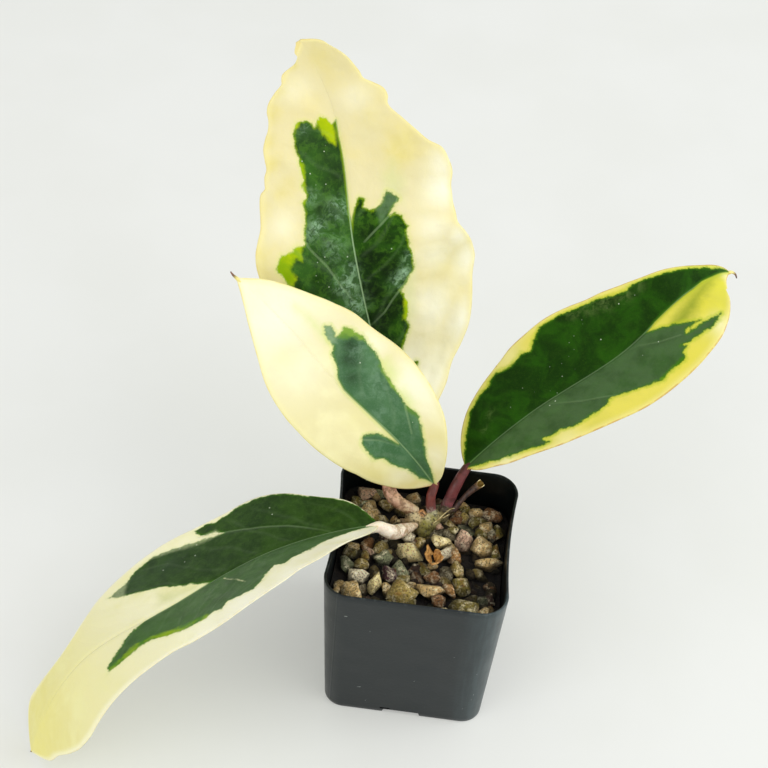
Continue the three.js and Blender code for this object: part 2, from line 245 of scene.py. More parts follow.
def span(tree, value, low, high, toLow=0.0, toHigh=1.0):  # a soft step of value from low to high
    plugs = {"Value": value, "From Min": low, "From Max": high, "To Min": toLow, "To Max": toHigh}
    return node(tree, "MapRange", plugs, interpolation_type="SMOOTHSTEP").outputs["Result"]


def place(tree):
    return node(tree, "TexCoord").outputs["Object"]


def grain(tree, where, perMetre, detail=2.0, roughness=0.5, distortion=0.0):
    plugs = {"Vector": where, "Scale": perMetre, "Detail": detail, "Roughness": roughness,
             "Distortion": distortion}
    return node(tree, "TexNoise", plugs).outputs["Fac"]


def cellDistance(tree, where, perMetre):
    return node(tree, "TexVoronoi", {"Vector": where, "Scale": perMetre}).outputs["Distance"]


def stretched(tree, where, x, y, z):
    return node(tree, "Mapping", {"Vector": where, "Scale": (x, y, z)}).outputs["Vector"]


def attributeOf(tree, name, output="Fac"):
    return node(tree, "Attribute", attribute_name=name).outputs[output]


def bump(tree, height, distance, strength=1.0, under=None):
    plugs = {"Height": height, "Distance": distance, "Strength": strength, "Normal": under}
    return node(tree, "Bump", plugs).outputs["Normal"]


def dress(tree, shader, colour, roughness, normal, gloss=0.5):
    plug(tree, shader.inputs["Base Color"], colour)
    plug(tree, shader.inputs["Roughness"], roughness)
    plug(tree, shader.inputs["Normal"], normal)
    shader.inputs["Specular IOR Level"].default_value = gloss


def waxy(shader, share, radius=None):  # light that enters the skin a little way
    shader.inputs["Subsurface Weight"].default_value = share
    shader.inputs["Subsurface Scale"].default_value = mm
    if radius:
        shader.inputs["Subsurface Radius"].default_value = radius


# Leaves. s runs from base to tip, v from -1 to 1 across, and widths and radii are in millimetres.
# Outlines, veins and scars are drawn in hundredths of s and v.
stations = [0, 0.04, 0.1, 0.17, 0.24, 0.32, 0.4, 0.48, 0.56, 0.64, 0.72, 0.8, 0.87, 0.93, 0.97, 1]
blade = {
    "rows": 300, "columns": 128, "midThick": 1.3, "edgeThick": 0.55, "leastThick": 0.25,
    "rootHalf": 1.1, "tipHalf": 0.45, "trimFrom": 0.72, "sweep": 0.85,
    "puckerSize": 8.0, "finePuckerSize": 4.0, "finePuckers": 0.4,
    "ribGroove": 0.3, "ribGrooveHalf": 0.8, "veinGroove": 0.22, "veinGrooveHalf": 0.7, "rounding": 0.22,
}
keel = {"height": 0.9, "half": 1.6, "fades": 0.75}  # ridge of the midrib under the blade
farAway = 20.0  # stands for any larger distance on a blade

leafLeft = {
    "node": "leaf_left", "slot": "leaf_cream",
    "midrib": [[-13.4, -0.2, 62.2], [-43.4, -13.2, 59.8], [-71, -28, 46.5], [-96, -46.5, 36.5],
               [-110, -56.3, 0.8]],
    "face": [[0.11, 0.33, 0.94], [-0.4, 0.27, 0.88], [-0.82, -0.55, 0.1]],
    "minusSide": [8.5, 14, 18, 24, 28.5, 30, 28.5, 26.5, 26, 26, 26, 19.5, 12.5, 8.5],
    "plusSide": [9.5, 15, 20.5, 24.5, 28, 30.5, 33, 30, 24.5, 18, 14, 13.5, 13.5, 12.5],
    "fold": [0.35, -0.21], "cup": 0, "wave": [0.5, 3, 0.4], "relief": 0.12,
    "green": [
        [(0, 60), (1, 73), (3, 88), (6, 93), (12, 96), (18, 98.5), (23, 98.5), (29, 97), (33, 93),
         (35.5, 88), (38, 94), (40.5, 92), (40, 78), (36, 70), (34.5, 64), (37, 65), (42, 72), (47, 82),
         (50, 89), (53, 88), (55, 83), (57, 80), (60.5, 82), (59, 68), (57, 60), (55, 50), (51, 35),
         (47, 19), (44, 10), (41, 1), (36, -5), (20, -10), (0, -10)],
        [(0, 10), (20, 6), (36, 5), (42, 1), (49, 0), (54, 0), (57, -2), (61, -10), (64, -22), (67, -36),
         (69, -44), (69.5, -56), (67, -55), (64, -53), (61, -48), (58, -51), (54, -60), (50, -65),
         (46, -72), (43, -76), (41, -73), (38.5, -79), (37, -70), (34, -77), (31, -79), (29, -72),
         (28, -60), (26, -50), (24, -60), (22, -52), (18, -56), (15, -44), (11, -36), (7, -25), (3, -20),
         (0, -30)],
    ],
    "lime": [
        [(70, -60), (69, -49), (66, -45), (62, -39), (58, -41), (54, -49), (50, -54), (46, -61), (43, -66),
         (41, -78), (50, -76), (58, -64), (66, -66)],
    ],
    "pale": [
        [(56, 92), (55.5, 79), (57.5, 62), (62, 75), (63, 90)],
        [(36, 74), (35.5, 62), (40, 64), (46, 74), (50, 86), (53, 97), (47, 90), (42, 77)],
    ],
    "haze": [
        [(42, 5), (47, 12), (52, 28), (53, 10), (50, 5)],
    ],
    "veins": [
        [(40, 78), (35, 65), (28, 50), (20, 35), (16, 22), (11.5, 3)],
    ],
    "minusTrim": [(0, -1), (0.06, -2.6), (0.11, -1.4), (0.17, 2), (0.22, 0.6), (0.27, 1.8), (0.32, 2.8),
                  (0.38, 3.4), (0.45, 1.5), (0.55, -2), (0.65, -1), (0.7, 0.2), (0.76, 1.8), (0.81, 0.2),
                  (1, 0)],
    "plusTrim": [(0, -0.8), (0.08, -1), (0.13, -1.2), (0.175, 0), (0.23, 0.7), (0.29, -0.5), (0.34, -2),
                 (0.45, -1.7), (0.53, -0.4), (0.62, -0.3), (0.67, -1.2), (0.75, -1.5), (0.81, -1.2),
                 (0.88, -0.5), (0.94, 0.3), (1, 0)],
    "creamBase": (236, 232, 208), "creamMiddle": (240, 236, 196), "creamTip": (216, 208, 134),
    "creamShade": (226, 222, 160), "creamEdge": (240, 237, 210), "greenDeep": (28, 54, 8),
    "greenMid": (42, 72, 12), "flecks": (74, 104, 46), "paintedSheen": 0.3, "paintedReflectionSide": -1, "paintedReflection": 0.42,
    "paintedReflectionTone": (78, 118, 58), "hazeTone": (184, 190, 104), "hazeShare": 0.5,
    "limeTones": [(134, 164, 0), (64, 116, 0)], "paleTone": (150, 162, 118), "paleShare": 0.75,
    "fringe": (216, 218, 150), "fringeShare": 0.35, "crumple": 0.16, "ragged": 0.95, "faintVeins": 0.03,
    "ribShare": 0.3, "drawnShare": 0.2, "paintedSheenTone": (134, 158, 116), "gloss": 0.12, "pucker": 0.2,
    "margin": (226, 214, 176),
    "scars": [
        [(37.5, -8), (36, -20), (34.3, -32), (32.5, -50)],
    ],
    "warmSpots": [(0.92, 0.2, 9, 0.5), (0.97, -0.3, 6, 0.5), (0.56, 0.95, 6, 0.4), (0.5, 0.28, 3, 0.5)],
    "warmTone": (222, 214, 120),
    "paintedLightSpots": [(0.33, -1, 9, 0.8), (0.24, -1, 7, 0.9), (0.44, -0.95, 7, 0.5), (0.085, -0.5, 5, 0.7)],
    "paintedSheenSpots": [(0.3, -0.2, 6, 0.35), (0.4, -0.27, 6, 0.4), (0.5, -0.2, 5, 0.3)],
    "darkSpots": [(0.54, 0.7, 7, 0.35), (0.49, 0.62, 6, 0.4), (0.68, -0.45, 5, 0.3)],
    "darkTone": (44, 66, 40),
    "dustSpots": [(0.25, 0.7, 5), (0.45, 0.6, 6)],
}
leafFront = {
    "node": "leaf_front", "slot": "leaf_cream",
    "midrib": [[1.5, 18, 61.3], [-11, 19.5, 78], [-29, 26.5, 90], [-46.5, 36, 102.5], [-64, 40, 118]],
    "face": [[0.22, -0.9, -0.37], [0.05, -0.8, 0.6], [0.66, -0.5, 0.56]],
    "minusSide": [7, 12, 15, 16.5, 17.8, 18.4, 18.5, 17.9, 17, 15.2, 12.2, 8.8, 4.9, 2.1],
    "plusSide": [4.5, 8.7, 13.3, 17.2, 20.2, 21, 20.4, 19, 17.3, 14.8, 11.4, 8.2, 4.8, 1.9],
    "fold": [0.25, 0.07], "cup": -0.04, "wave": [0.35, 2.5, 0.3], "relief": 0.1,
    "green": [
        [(63, 35), (65.5, 38), (67.5, 43), (69, 52), (68, 60), (66, 57), (64.5, 50), (64, 60), (65, 72),
         (63, 79), (60, 81), (56, 79), (52, 74), (47, 66), (41, 59), (37, 56), (33, 51), (30, 58), (28, 59),
         (25, 51), (21, 46), (17, 38), (11, 33), (6, 29), (1, 25), (0, -5), (10, -3), (21, -3), (32, -2),
         (42, 0), (50, 0), (54, 5), (57, 15), (61, 25)],
        [(26, 4), (24, -3), (28, -8), (32, -14), (34, -25), (35.5, -34), (34, -45), (31, -50), (27, -54),
         (25, -54), (23, -44), (19, -42), (16, -36), (13, -27), (10, -25), (7, -26), (5, -15), (2, -5),
         (2, 5)],
    ],
    "lime": [
        [(64, 53), (66, 62), (67, 74), (64, 84), (57.5, 86), (57.5, 78), (60.5, 72), (61.5, 60)],
        [(48, 70), (41, 63), (37, 59), (37, 53), (42, 55), (48, 63)],
        [(33, 50), (30, 62), (27, 61), (28.5, 54), (32, 47)],
    ],
    "pale": [
        [(63.5, 30), (67, 39), (70, 54), (68, 64), (65.5, 56), (63, 44)],
    ],
    "haze": [
        [(64, 34), (68, 34), (76, 44), (80, 50), (74, 50), (68, 42)],
        [(49, 66), (48, 80), (42, 77), (39, 64), (42, 60)],
        [(38, 50), (37, 66), (32, 66), (30, 56), (33, 50)],
    ],
    "veins": [
        [(34.5, -40), (30, -22), (22, -2)],
        [(33, 50), (30, 42), (25, 30)],
    ],
    "minusTrim": [(0, 1.2), (0.04, 0.8), (0.12, 0), (0.4, 0.1), (0.5, 0.1), (0.56, 0.5), (0.66, 0.3),
                  (0.73, -0.2), (0.83, -0.6), (0.9, -0.4), (1, 0)],
    "plusTrim": [(0, -0.2), (0.06, -0.6), (0.12, -0.3), (0.22, 0.2), (0.34, 0.4), (0.4, 0.7), (0.5, 0.9),
                 (0.6, 0.5), (0.67, 0.9), (0.73, 0.3), (0.82, 0.1), (0.94, 0.3), (1, 0)],
    "creamBase": (230, 218, 140), "creamMiddle": (232, 223, 170), "creamTip": (240, 233, 200),
    "creamShade": (248, 242, 192), "creamEdge": (240, 232, 172), "greenDeep": (62, 104, 62),
    "greenMid": (76, 118, 74), "flecks": (126, 156, 128), "paintedSheen": 0.4, "paintedReflectionSide": 0, "paintedReflection": 0.08,
    "paintedReflectionTone": (92, 128, 94), "hazeTone": (206, 222, 124), "hazeShare": 0.6,
    "limeTones": [(138, 172, 60), (92, 134, 50)], "paleTone": (150, 174, 134), "paleShare": 0.7,
    "fringe": (206, 216, 120), "fringeShare": 0.5, "crumple": 0.14, "ragged": 0.85, "faintVeins": 0.05,
    "ribShare": 0.55, "drawnShare": 0.3, "paintedSheenTone": (150, 184, 156), "gloss": 0.16, "pucker": 0.15,
    "margin": (232, 212, 120), "scars": [],
    "warmSpots": [(0.7, -0.42, 4, 0.4), (0.4, -0.15, 4, 0.35), (0.62, 0.28, 3, 0.4), (0.32, 0.85, 5, 0.3),
                  (0.2, -0.55, 6, 0.3)],
    "warmTone": (236, 228, 142),
    "paintedLightSpots": [(0.8, -0.1, 10, 0.5), (0.64, -0.34, 9, 0.4), (0.12, -0.4, 5, 0.4), (0.55, 0.9, 6, 0.5),
                   (0.34, 0.85, 9, 0.8), (0.14, 0.7, 5, 0.5)],
    "paintedSheenSpots": [(0.56, 0.58, 3, 0.7), (0.36, 0.13, 3, 0.5), (0.44, 0.4, 5, 0.4), (0.3, -0.32, 3, 0.4)],
    "darkSpots": [(0.59, 0.56, 2.8, 1), (0.56, 0.4, 3, 1), (0.51, 0.22, 2.6, 0.8), (0.6, 0.62, 2, 0.8),
                  (0.12, 0.1, 4, 0.3)],
    "darkTone": (24, 52, 18),
    "dustSpots": [(0.5, 0.5, 4), (0.3, 0.3, 3)],
}
leafBack = {
    "node": "leaf_back", "slot": "leaf_cream",
    "midrib": [[-10, 27, 64.6], [-22, 49.5, 86.5], [-32, 63, 115.5], [-40, 80.5, 144], [-54, 89.5, 169]],
    "face": [[0.33, -0.64, 0.7], [0.32, -0.77, 0.54], [-0.12, -0.91, 0.41]],
    "minusSide": [8, 16.5, 26, 30.5, 31.5, 31, 30.5, 28, 26, 23.5, 21.5, 18, 10, 3.5],
    "plusSide": [7, 15.5, 23, 30.5, 35.5, 37.5, 35, 32.5, 32, 23.5, 16.5, 12, 11, 7.5],
    "fold": [-0.04, 0.21], "cup": -0.07, "wave": [1.4, 4.5, 0.6], "relief": 0.7,
    "green": [
        [(78, 0), (77, -8), (79, -13), (80, -20), (79, -27), (77.5, -30), (79, -33), (80, -39), (80.5, -50),
         (80, -55), (78, -60), (75, -63), (72, -59), (68, -54), (66, -51), (64, -53), (62, -48), (60, -52),
         (58, -51), (56, -50), (53, -52), (52, -52), (52, -60), (51, -69), (51, -77), (49, -82), (48, -81),
         (47, -77), (45, -74), (41, -64), (36, -55), (30, -47), (24, -42), (17, -30), (10, -22), (4, -12),
         (0, -10), (0, 5), (20, 4), (50, 3), (57, 0), (68, -1), (74, -2)],
        [(0, -5), (30, -3), (50, -3), (56, 2), (58, 5), (60, 10), (59.5, 15), (58, 14), (57, 22), (57, 26),
         (59, 32), (61, 36), (60, 44), (59, 48), (57, 41), (55.5, 37), (56, 42), (55, 49), (54, 50),
         (52, 52), (51, 49), (48, 49), (45, 48), (42, 47), (40, 46), (38, 39), (36, 32), (35, 34), (33, 37),
         (30, 36), (29, 34), (27, 38), (26, 35), (24, 31), (22, 29), (18, 24), (12, 17), (6, 10), (0, 10)],
        [(18.3, 44), (19.3, 46), (18.9, 50), (17.9, 48)],
    ],
    "lime": [
        [(79, -28), (81, -20), (80, -12), (77.5, -7), (75, -5), (72, -8), (73, -15), (75.5, -22)],
        [(52.5, -53), (54, -62), (53, -70), (53, -80), (49, -87), (47, -85), (45, -77), (44, -68),
         (46, -62), (48, -68), (50, -60), (49, -55)],
        [(36, 36), (33, 40), (29, 36), (29.5, 31), (33, 33)],
        [(70, -60), (66, -60), (60, -56), (60, -49), (64, -49), (69, -52)],
        [(82, -45), (82, -60), (79, -60), (79, -52)],
    ],
    "pale": [
        [(57, 25), (59, 30), (62, 36), (60, 47), (58, 46), (55, 33), (53, 27)],
    ],
    "haze": [
        [(60, 33), (64, 33), (67, 48), (63, 54), (58, 50)],
        [(42, 50), (36, 45), (30, 45), (28, 38), (36, 34)],
    ],
    "veins": [
        [(52.5, -50), (51.3, -47), (49.2, -39), (46.9, -31), (44.6, -26), (41.8, -21), (37, -10)],
        [(30, 0), (32, 15), (34, 23), (36, 31), (40, 46)],
        [(50, 10), (51.6, 18), (54.1, 31), (55.9, 40), (59, 46)],
    ],
    "minusTrim": [(0, 0), (0.47, -0.2), (0.5, 0.8), (0.52, 1.1), (0.54, 0.6), (0.56, -0.1), (0.58, -0.1),
                  (0.61, 0.2), (0.63, 0), (0.64, -1.1), (0.65, -0.9), (0.67, -0.5), (0.69, -0.7),
                  (0.72, 0.2), (0.76, 0.7), (0.79, -0.2), (0.81, -1), (0.835, -1.1), (0.86, -0.2),
                  (0.885, 0.4), (0.905, 0.1), (0.917, -0.6), (0.93, 0.6), (0.945, 1.4), (0.953, -1.6),
                  (0.965, -1), (0.98, 1.1), (1, 1.1)],
    "plusTrim": [(0, 1), (0.09, 1.6), (0.13, 2), (0.17, 1.2), (0.2, 1.4), (0.33, 0.4), (0.375, 1.1),
                 (0.41, 0.5), (0.44, 0.2), (0.47, -0.3), (0.5, -1.2), (0.54, -0.2), (0.58, -0.2),
                 (0.61, -0.8), (0.635, 0), (0.66, 0.8), (0.685, 1.7), (0.7, 0), (0.72, -0.7), (0.74, -1.4),
                 (0.77, -2), (0.785, -1.5), (0.8, 0.4), (0.82, 1.3), (0.84, 0.2), (0.855, -0.8),
                 (0.875, -0.2), (0.9, -0.6), (0.94, -1.6), (0.96, -1.7), (0.985, 0.2), (1, 0.3)],
    "creamBase": (250, 242, 196), "creamMiddle": (226, 216, 168), "creamTip": (225, 214, 164),
    "creamShade": (228, 215, 152), "creamEdge": (240, 228, 160), "greenDeep": (14, 44, 0),
    "greenMid": (42, 88, 6), "flecks": (78, 124, 28), "paintedSheen": 0.85, "paintedReflectionSide": -1, "paintedReflection": 0.16,
    "paintedReflectionTone": (84, 124, 66), "hazeTone": (206, 212, 150), "hazeShare": 0.5,
    "limeTones": [(174, 194, 0), (136, 170, 0)], "paleTone": (92, 120, 80), "paleShare": 0.8,
    "fringe": (212, 216, 120), "fringeShare": 0.35, "crumple": 0.4, "ragged": 0.85, "faintVeins": 0.04,
    "ribShare": 0.8, "drawnShare": 0.28, "paintedSheenTone": (160, 194, 160), "gloss": 0.1, "pucker": 0.6,
    "margin": (228, 206, 130), "scars": [],
    "warmSpots": [(0.707, -0.95, 3.2, 1), (0.855, -0.95, 4, 0.8), (0.78, -0.97, 3, 0.6),
                  (0.511, -1, 4, 0.8), (0.6, -0.98, 3, 0.5), (0.712, 0.75, 5, 0.55), (0.684, 0.58, 5, 0.6),
                  (0.397, 0.75, 5, 0.6), (0.768, 0.52, 4, 0.35), (0.947, 0.41, 6, 0.4),
                  (0.649, -0.66, 2.5, 0.45), (0.628, -0.76, 3, 0.5), (0.9, -0.9, 2.5, 0.6),
                  (0.3, 0.8, 5, 0.4), (0.95, -0.8, 1.5, 0.7)],
    "warmTone": (218, 203, 100),
    "paintedLightSpots": [(0.887, -0.5, 5, 0.4), (0.599, 0.9, 6, 0.9), (0.65, 0.95, 5, 0.7), (0.382, 0.97, 6, 0.9),
                   (0.46, 0.95, 5, 0.7), (0.5, 0.75, 6, 0.6), (0.25, 0.95, 6, 0.9), (0.823, 0.5, 5, 0.4),
                   (0.56, -0.75, 4, 0.4), (0.15, 0.75, 8, 0.8), (0.3, 0.62, 7, 0.7), (0.42, 0.68, 6, 0.6),
                   (0.2, 0.45, 6, 0.6)],
    "paintedSheenSpots": [(0.613, -0.43, 2.4, 0.45), (0.58, -0.12, 3, 0.75), (0.551, -0.37, 2.4, 0.9),
                   (0.539, -0.45, 2.2, 0.5), (0.413, -0.14, 3.6, 0.9), (0.442, -0.08, 2.4, 0.7),
                   (0.36, -0.1, 3.4, 0.8), (0.402, 0.37, 1.8, 1), (0.384, 0.31, 2.4, 0.8),
                   (0.432, 0.45, 2.2, 0.8), (0.5, -0.2, 4, 0.35), (0.78, -0.45, 2, 0.4),
                   (0.36, -0.35, 3, 0.6)],
    "darkSpots": [(0.46, 0.12, 5, 0.9), (0.38, 0.08, 5, 0.95), (0.3, 0.08, 5, 0.95), (0.52, 0.12, 3.5, 0.8),
                  (0.42, 0.24, 5, 0.85), (0.5, 0.28, 4, 0.6), (0.33, 0.2, 5, 0.8), (0.586, -0.33, 2, 0.8),
                  (0.7, -0.2, 5, 0.6), (0.76, -0.42, 3, 0.5), (0.65, -0.12, 4, 0.7), (0.24, 0.15, 5, 0.8),
                  (0.49, -0.6, 1.5, 0.5)],
    "darkTone": (6, 24, 0),
    "dustSpots": [(0.68, -0.3, 6), (0.45, -0.25, 6), (0.48, 0.4, 4)],
}
leafRight = {
    "node": "leaf_right", "slot": "leaf_green",
    "midrib": [[10.1, 23.6, 65.6], [28, 37, 79.5], [53, 53.5, 93], [70.5, 69.5, 106.5], [85, 85.5, 102.5]],
    "face": [[-0.38, -0.28, 0.88], [-0.34, -0.28, 0.9], [0.15, -0.39, 0.91]],
    "minusSide": [7, 13, 17, 20, 22.8, 24.8, 24, 20.8, 16, 12.3, 8.7, 5.3, 3.3, 1.8],
    "plusSide": [5.5, 9.5, 13.5, 16.7, 19, 20.5, 22, 21.4, 20.8, 18.5, 14.2, 8.8, 3.2, 1],
    "fold": [0.24, 0.11], "cup": -0.05, "wave": [0.5, 3.5, 1], "relief": 0.1,
    "green": [
        [(0, 10), (0, -50), (4, -66), (8, -76), (11, -81), (12, -87), (15, -88), (18, -90), (20, -83),
         (21, -90), (24, -91), (26, -82), (28, -77), (31, -81), (33, -74), (36, -87), (38, -93), (42, -91),
         (44, -93), (48, -89), (51, -91), (55, -91), (59, -85), (62, -81), (65, -88), (68, -88), (72, -84),
         (76, -81), (81, -80), (86, -80), (90, -65), (95, -70), (98.5, -60), (98.5, -10), (93, -9),
         (88, -4), (83, -5), (78, 1), (72, 1), (68, 0), (62, -1), (57, 3), (40, 6), (20, 8)],
        [(57, -5), (58.5, 1), (61, 10), (64, 22), (67, 35), (71, 53), (68, 50), (66, 46), (65, 51),
         (68, 56), (71, 61), (75, 70), (78.5, 80), (75, 81), (71, 77), (67, 69), (64, 63), (62, 58),
         (63, 66), (61, 70), (60.5, 79), (58, 79), (56, 78), (53, 79), (50, 72), (48, 67), (45, 63),
         (42, 57), (40, 67), (37, 71), (34, 75), (31, 75), (28, 72), (25, 74), (23, 70), (24, 84), (22, 88),
         (19, 82), (16, 79), (11, 74), (6, 69), (1, 70), (0, 30), (0, -10), (30, -6)],
    ],
    "lime": [
        [(24, -86), (25, -94), (29, -90), (30, -84), (27, -79)],
        [(53, 75), (56, 74), (60, 75), (61, 84), (56, 86), (52, 83)],
    ],
    "pale": [],
    "haze": [
        [(60, 24), (65, 40), (71, 40), (77, 30), (82, 24), (88, 12), (93, -2), (89, -8), (82, 0), (76, 8),
         (70, 14), (64, 18)],
    ],
    "veins": [
        [(30, 8), (36, 36), (40, 48), (43, 58)],
        [(50, -1), (54.5, 8.5), (59, 29), (64, 46)],
    ],
    "minusTrim": [(0, 0.6), (0.04, -0.2), (0.1, -0.8), (0.2, -0.8), (0.26, -0.5), (0.3, 0.2), (0.36, -0.3),
                  (0.41, -0.8), (0.46, -1.1), (0.52, -0.9), (0.58, -0.2), (0.64, -0.2), (0.7, -0.8),
                  (0.8, -0.4), (0.87, 0.1), (1, 0)],
    "plusTrim": [(0, 1), (0.06, -0.2), (0.11, 0.2), (0.17, -0.5), (0.22, -0.4), (0.27, 0.2), (0.36, 0.2),
                 (0.45, -0.3), (0.49, -0.4), (0.57, 0.5), (0.66, 0.1), (0.75, 0.2), (0.84, 0), (0.87, -0.3),
                 (0.885, -1.6), (0.9, -0.5), (1, 0)],
    "creamBase": (222, 210, 106), "creamMiddle": (226, 215, 92), "creamTip": (218, 212, 66),
    "creamShade": (206, 200, 84), "creamEdge": (236, 224, 146), "greenDeep": (18, 50, 0),
    "greenMid": (32, 76, 2), "flecks": (58, 96, 18), "paintedSheen": 0.5, "paintedReflectionSide": 1, "paintedReflection": 0.62,
    "paintedReflectionTone": (86, 114, 72), "hazeTone": (132, 148, 40), "hazeShare": 0.85,
    "limeTones": [(118, 158, 20), (62, 116, 8)], "paleTone": (138, 158, 120), "paleShare": 0.7,
    "fringe": (176, 192, 40), "fringeShare": 0.6, "crumple": 0.08, "ragged": 0.85, "faintVeins": 0.0,
    "ribShare": 0.24, "drawnShare": 0.12, "paintedSheenTone": (122, 144, 80), "gloss": 0.08, "pucker": 0.2,
    "margin": (184, 120, 70), "scars": [],
    "warmSpots": [(0.77, 0.5, 5, 0.5), (0.6, 0.9, 4, 0.3)],
    "warmTone": (216, 208, 30),
    "paintedLightSpots": [(0.75, 1, 5, 0.6), (0.11, 1, 4, 0.6), (0.28, 0.95, 4, 0.3), (0.28, -0.95, 4, 0.3),
                   (0.95, 0.5, 3, 0.4)],
    "paintedSheenSpots": [(0.47, -0.86, 2.6, 0.7), (0.52, -0.83, 3, 0.8), (0.57, -0.8, 3, 0.8),
                   (0.62, -0.8, 2.6, 0.8), (0.66, -0.8, 2, 0.6), (0.16, -0.46, 1.6, 0.6),
                   (0.12, -0.34, 1.4, 0.5)],
    "darkSpots": [(0.4, 0.3, 5, 0.2)],
    "darkTone": (30, 56, 20),
    "dustSpots": [(0.33, -0.3, 6), (0.32, -0.05, 4), (0.45, -0.5, 6), (0.6, -0.8, 5), (0.22, -0.1, 4),
                  (0.55, 0.3, 5)],
}


def bladeFrame(leaf, s):
    step = 1e-3
    knots = np.linspace(0, 1, len(leaf["midrib"]))
    centre = through(knots, leaf["midrib"], s)
    ahead = through(knots, leaf["midrib"], np.minimum(1, s + step))
    behind = through(knots, leaf["midrib"], np.maximum(0, s - step))
    along = unit(ahead - behind)
    s = s[:, None]
    face = np.asarray(leaf["face"], float)
    up = (1 - s) * (1 - 2 * s) * face[0] + 4 * s * (1 - s) * face[1] + s * (2 * s - 1) * face[2]
    up = unit(up - (up * along).sum(1, keepdims=True) * along)
    return centre, along, up, np.cross(along, up)


def halfWidth(leaf, s, v):
    plus = through(stations, [0] + leaf["plusSide"] + [0], s)
    minus = through(stations, [0] + leaf["minusSide"] + [0], s)
    return np.maximum(lerp(blade["rootHalf"], blade["tipHalf"], s), np.where(v > 0, plus, minus))


def marginTrim(leaf, s, v):  # the fine waves of the margin, which fade inward
    plus = through(*zip(*leaf["plusTrim"]), s)
    minus = through(*zip(*leaf["minusTrim"]), s)
    outer = np.clip((np.abs(v) - blade["trimFrom"]) / (1 - blade["trimFrom"]), 0, 1) ** 1.5
    return np.where(v > 0, plus, -minus) * outer * smoothStep(0, 0.02, s)


def bladePoints(leaf, s, v):  # upper face, in millimetres
    centre, _, up, across = bladeFrame(leaf, s)
    side = v * halfWidth(leaf, s, v) + marginTrim(leaf, s, v)
    widest = max(leaf["minusSide"] + leaf["plusSide"])
    height, count, phase = leaf["wave"]
    turn = np.where(v > 0, phase, -1.3 * phase)
    swell = height * v * v * np.maximum(np.sin(np.pi * s), 0) ** 0.7
    folded = np.sqrt(side ** 2 + 0.8) - 0.9  # nearly the distance from the midrib, rounded in the fold
    rise = folded * lerp(leaf["fold"][0], leaf["fold"][1], s) + leaf["cup"] * side * side / widest
    rise = rise + swell * np.sin(2 * np.pi * count * s + turn)
    return centre + across * side[:, None] + up * rise[:, None], up, side


def bladeLength(leaf):
    knots = np.linspace(0, 1, len(leaf["midrib"]))
    return float(reachAlong(through(knots, leaf["midrib"], np.linspace(0, 1, 200)))[-1])


def flatPlace(leaf, s, v):  # the place on a blade laid flat, in millimetres
    s, v = np.asarray(s, float), np.asarray(v, float)
    return np.stack([s * leaf["length"], v * halfWidth(leaf, s, v)], 1)


def drawnPlace(leaf, drawing):
    return flatPlace(leaf, *np.transpose(drawing) / 100)


def fromLine(spots, a, b):
    edge = b - a
    t = np.clip(((spots - a) @ edge) / max(edge @ edge, 1e-9), 0, 1)
    return np.linalg.norm(spots - a - t[:, None] * edge, axis=1)


def insideDistance(spots, corners):  # millimetres, positive inside the outline
    nearest = np.full(len(spots), 1e9)
    inside = np.zeros(len(spots), bool)
    for a, b in zip(corners, np.roll(corners, -1, 0)):
        nearest = np.minimum(nearest, fromLine(spots, a, b))
        crosses = (a[1] > spots[:, 1]) != (b[1] > spots[:, 1])
        rise = b[1] - a[1] if abs(b[1] - a[1]) > 1e-9 else 1e-9
        inside ^= crosses & (spots[:, 0] < a[0] + (spots[:, 1] - a[1]) * (b[0] - a[0]) / rise)
    return np.where(inside, nearest, -nearest)


def lineDistance(leaf, spots, lines):  # millimetres to the nearest of the drawn lines
    nearest = np.full(len(spots), farAway)
    for line in lines:
        corners = drawnPlace(leaf, line)
        for a, b in zip(corners[:-1], corners[1:]):
            nearest = np.minimum(nearest, fromLine(spots, a, b))
    return nearest


def spotShare(leaf, spots, marks):  # soft round marks: s, v, radius in millimetres, strength
    best = np.zeros(len(spots))
    for s, v, radius, *strength in marks:
        away = np.linalg.norm(spots - flatPlace(leaf, [s], [v]), axis=1)
        best = np.maximum(best, (strength or [1])[0] * np.exp(-(away / radius) ** 2))
    return best


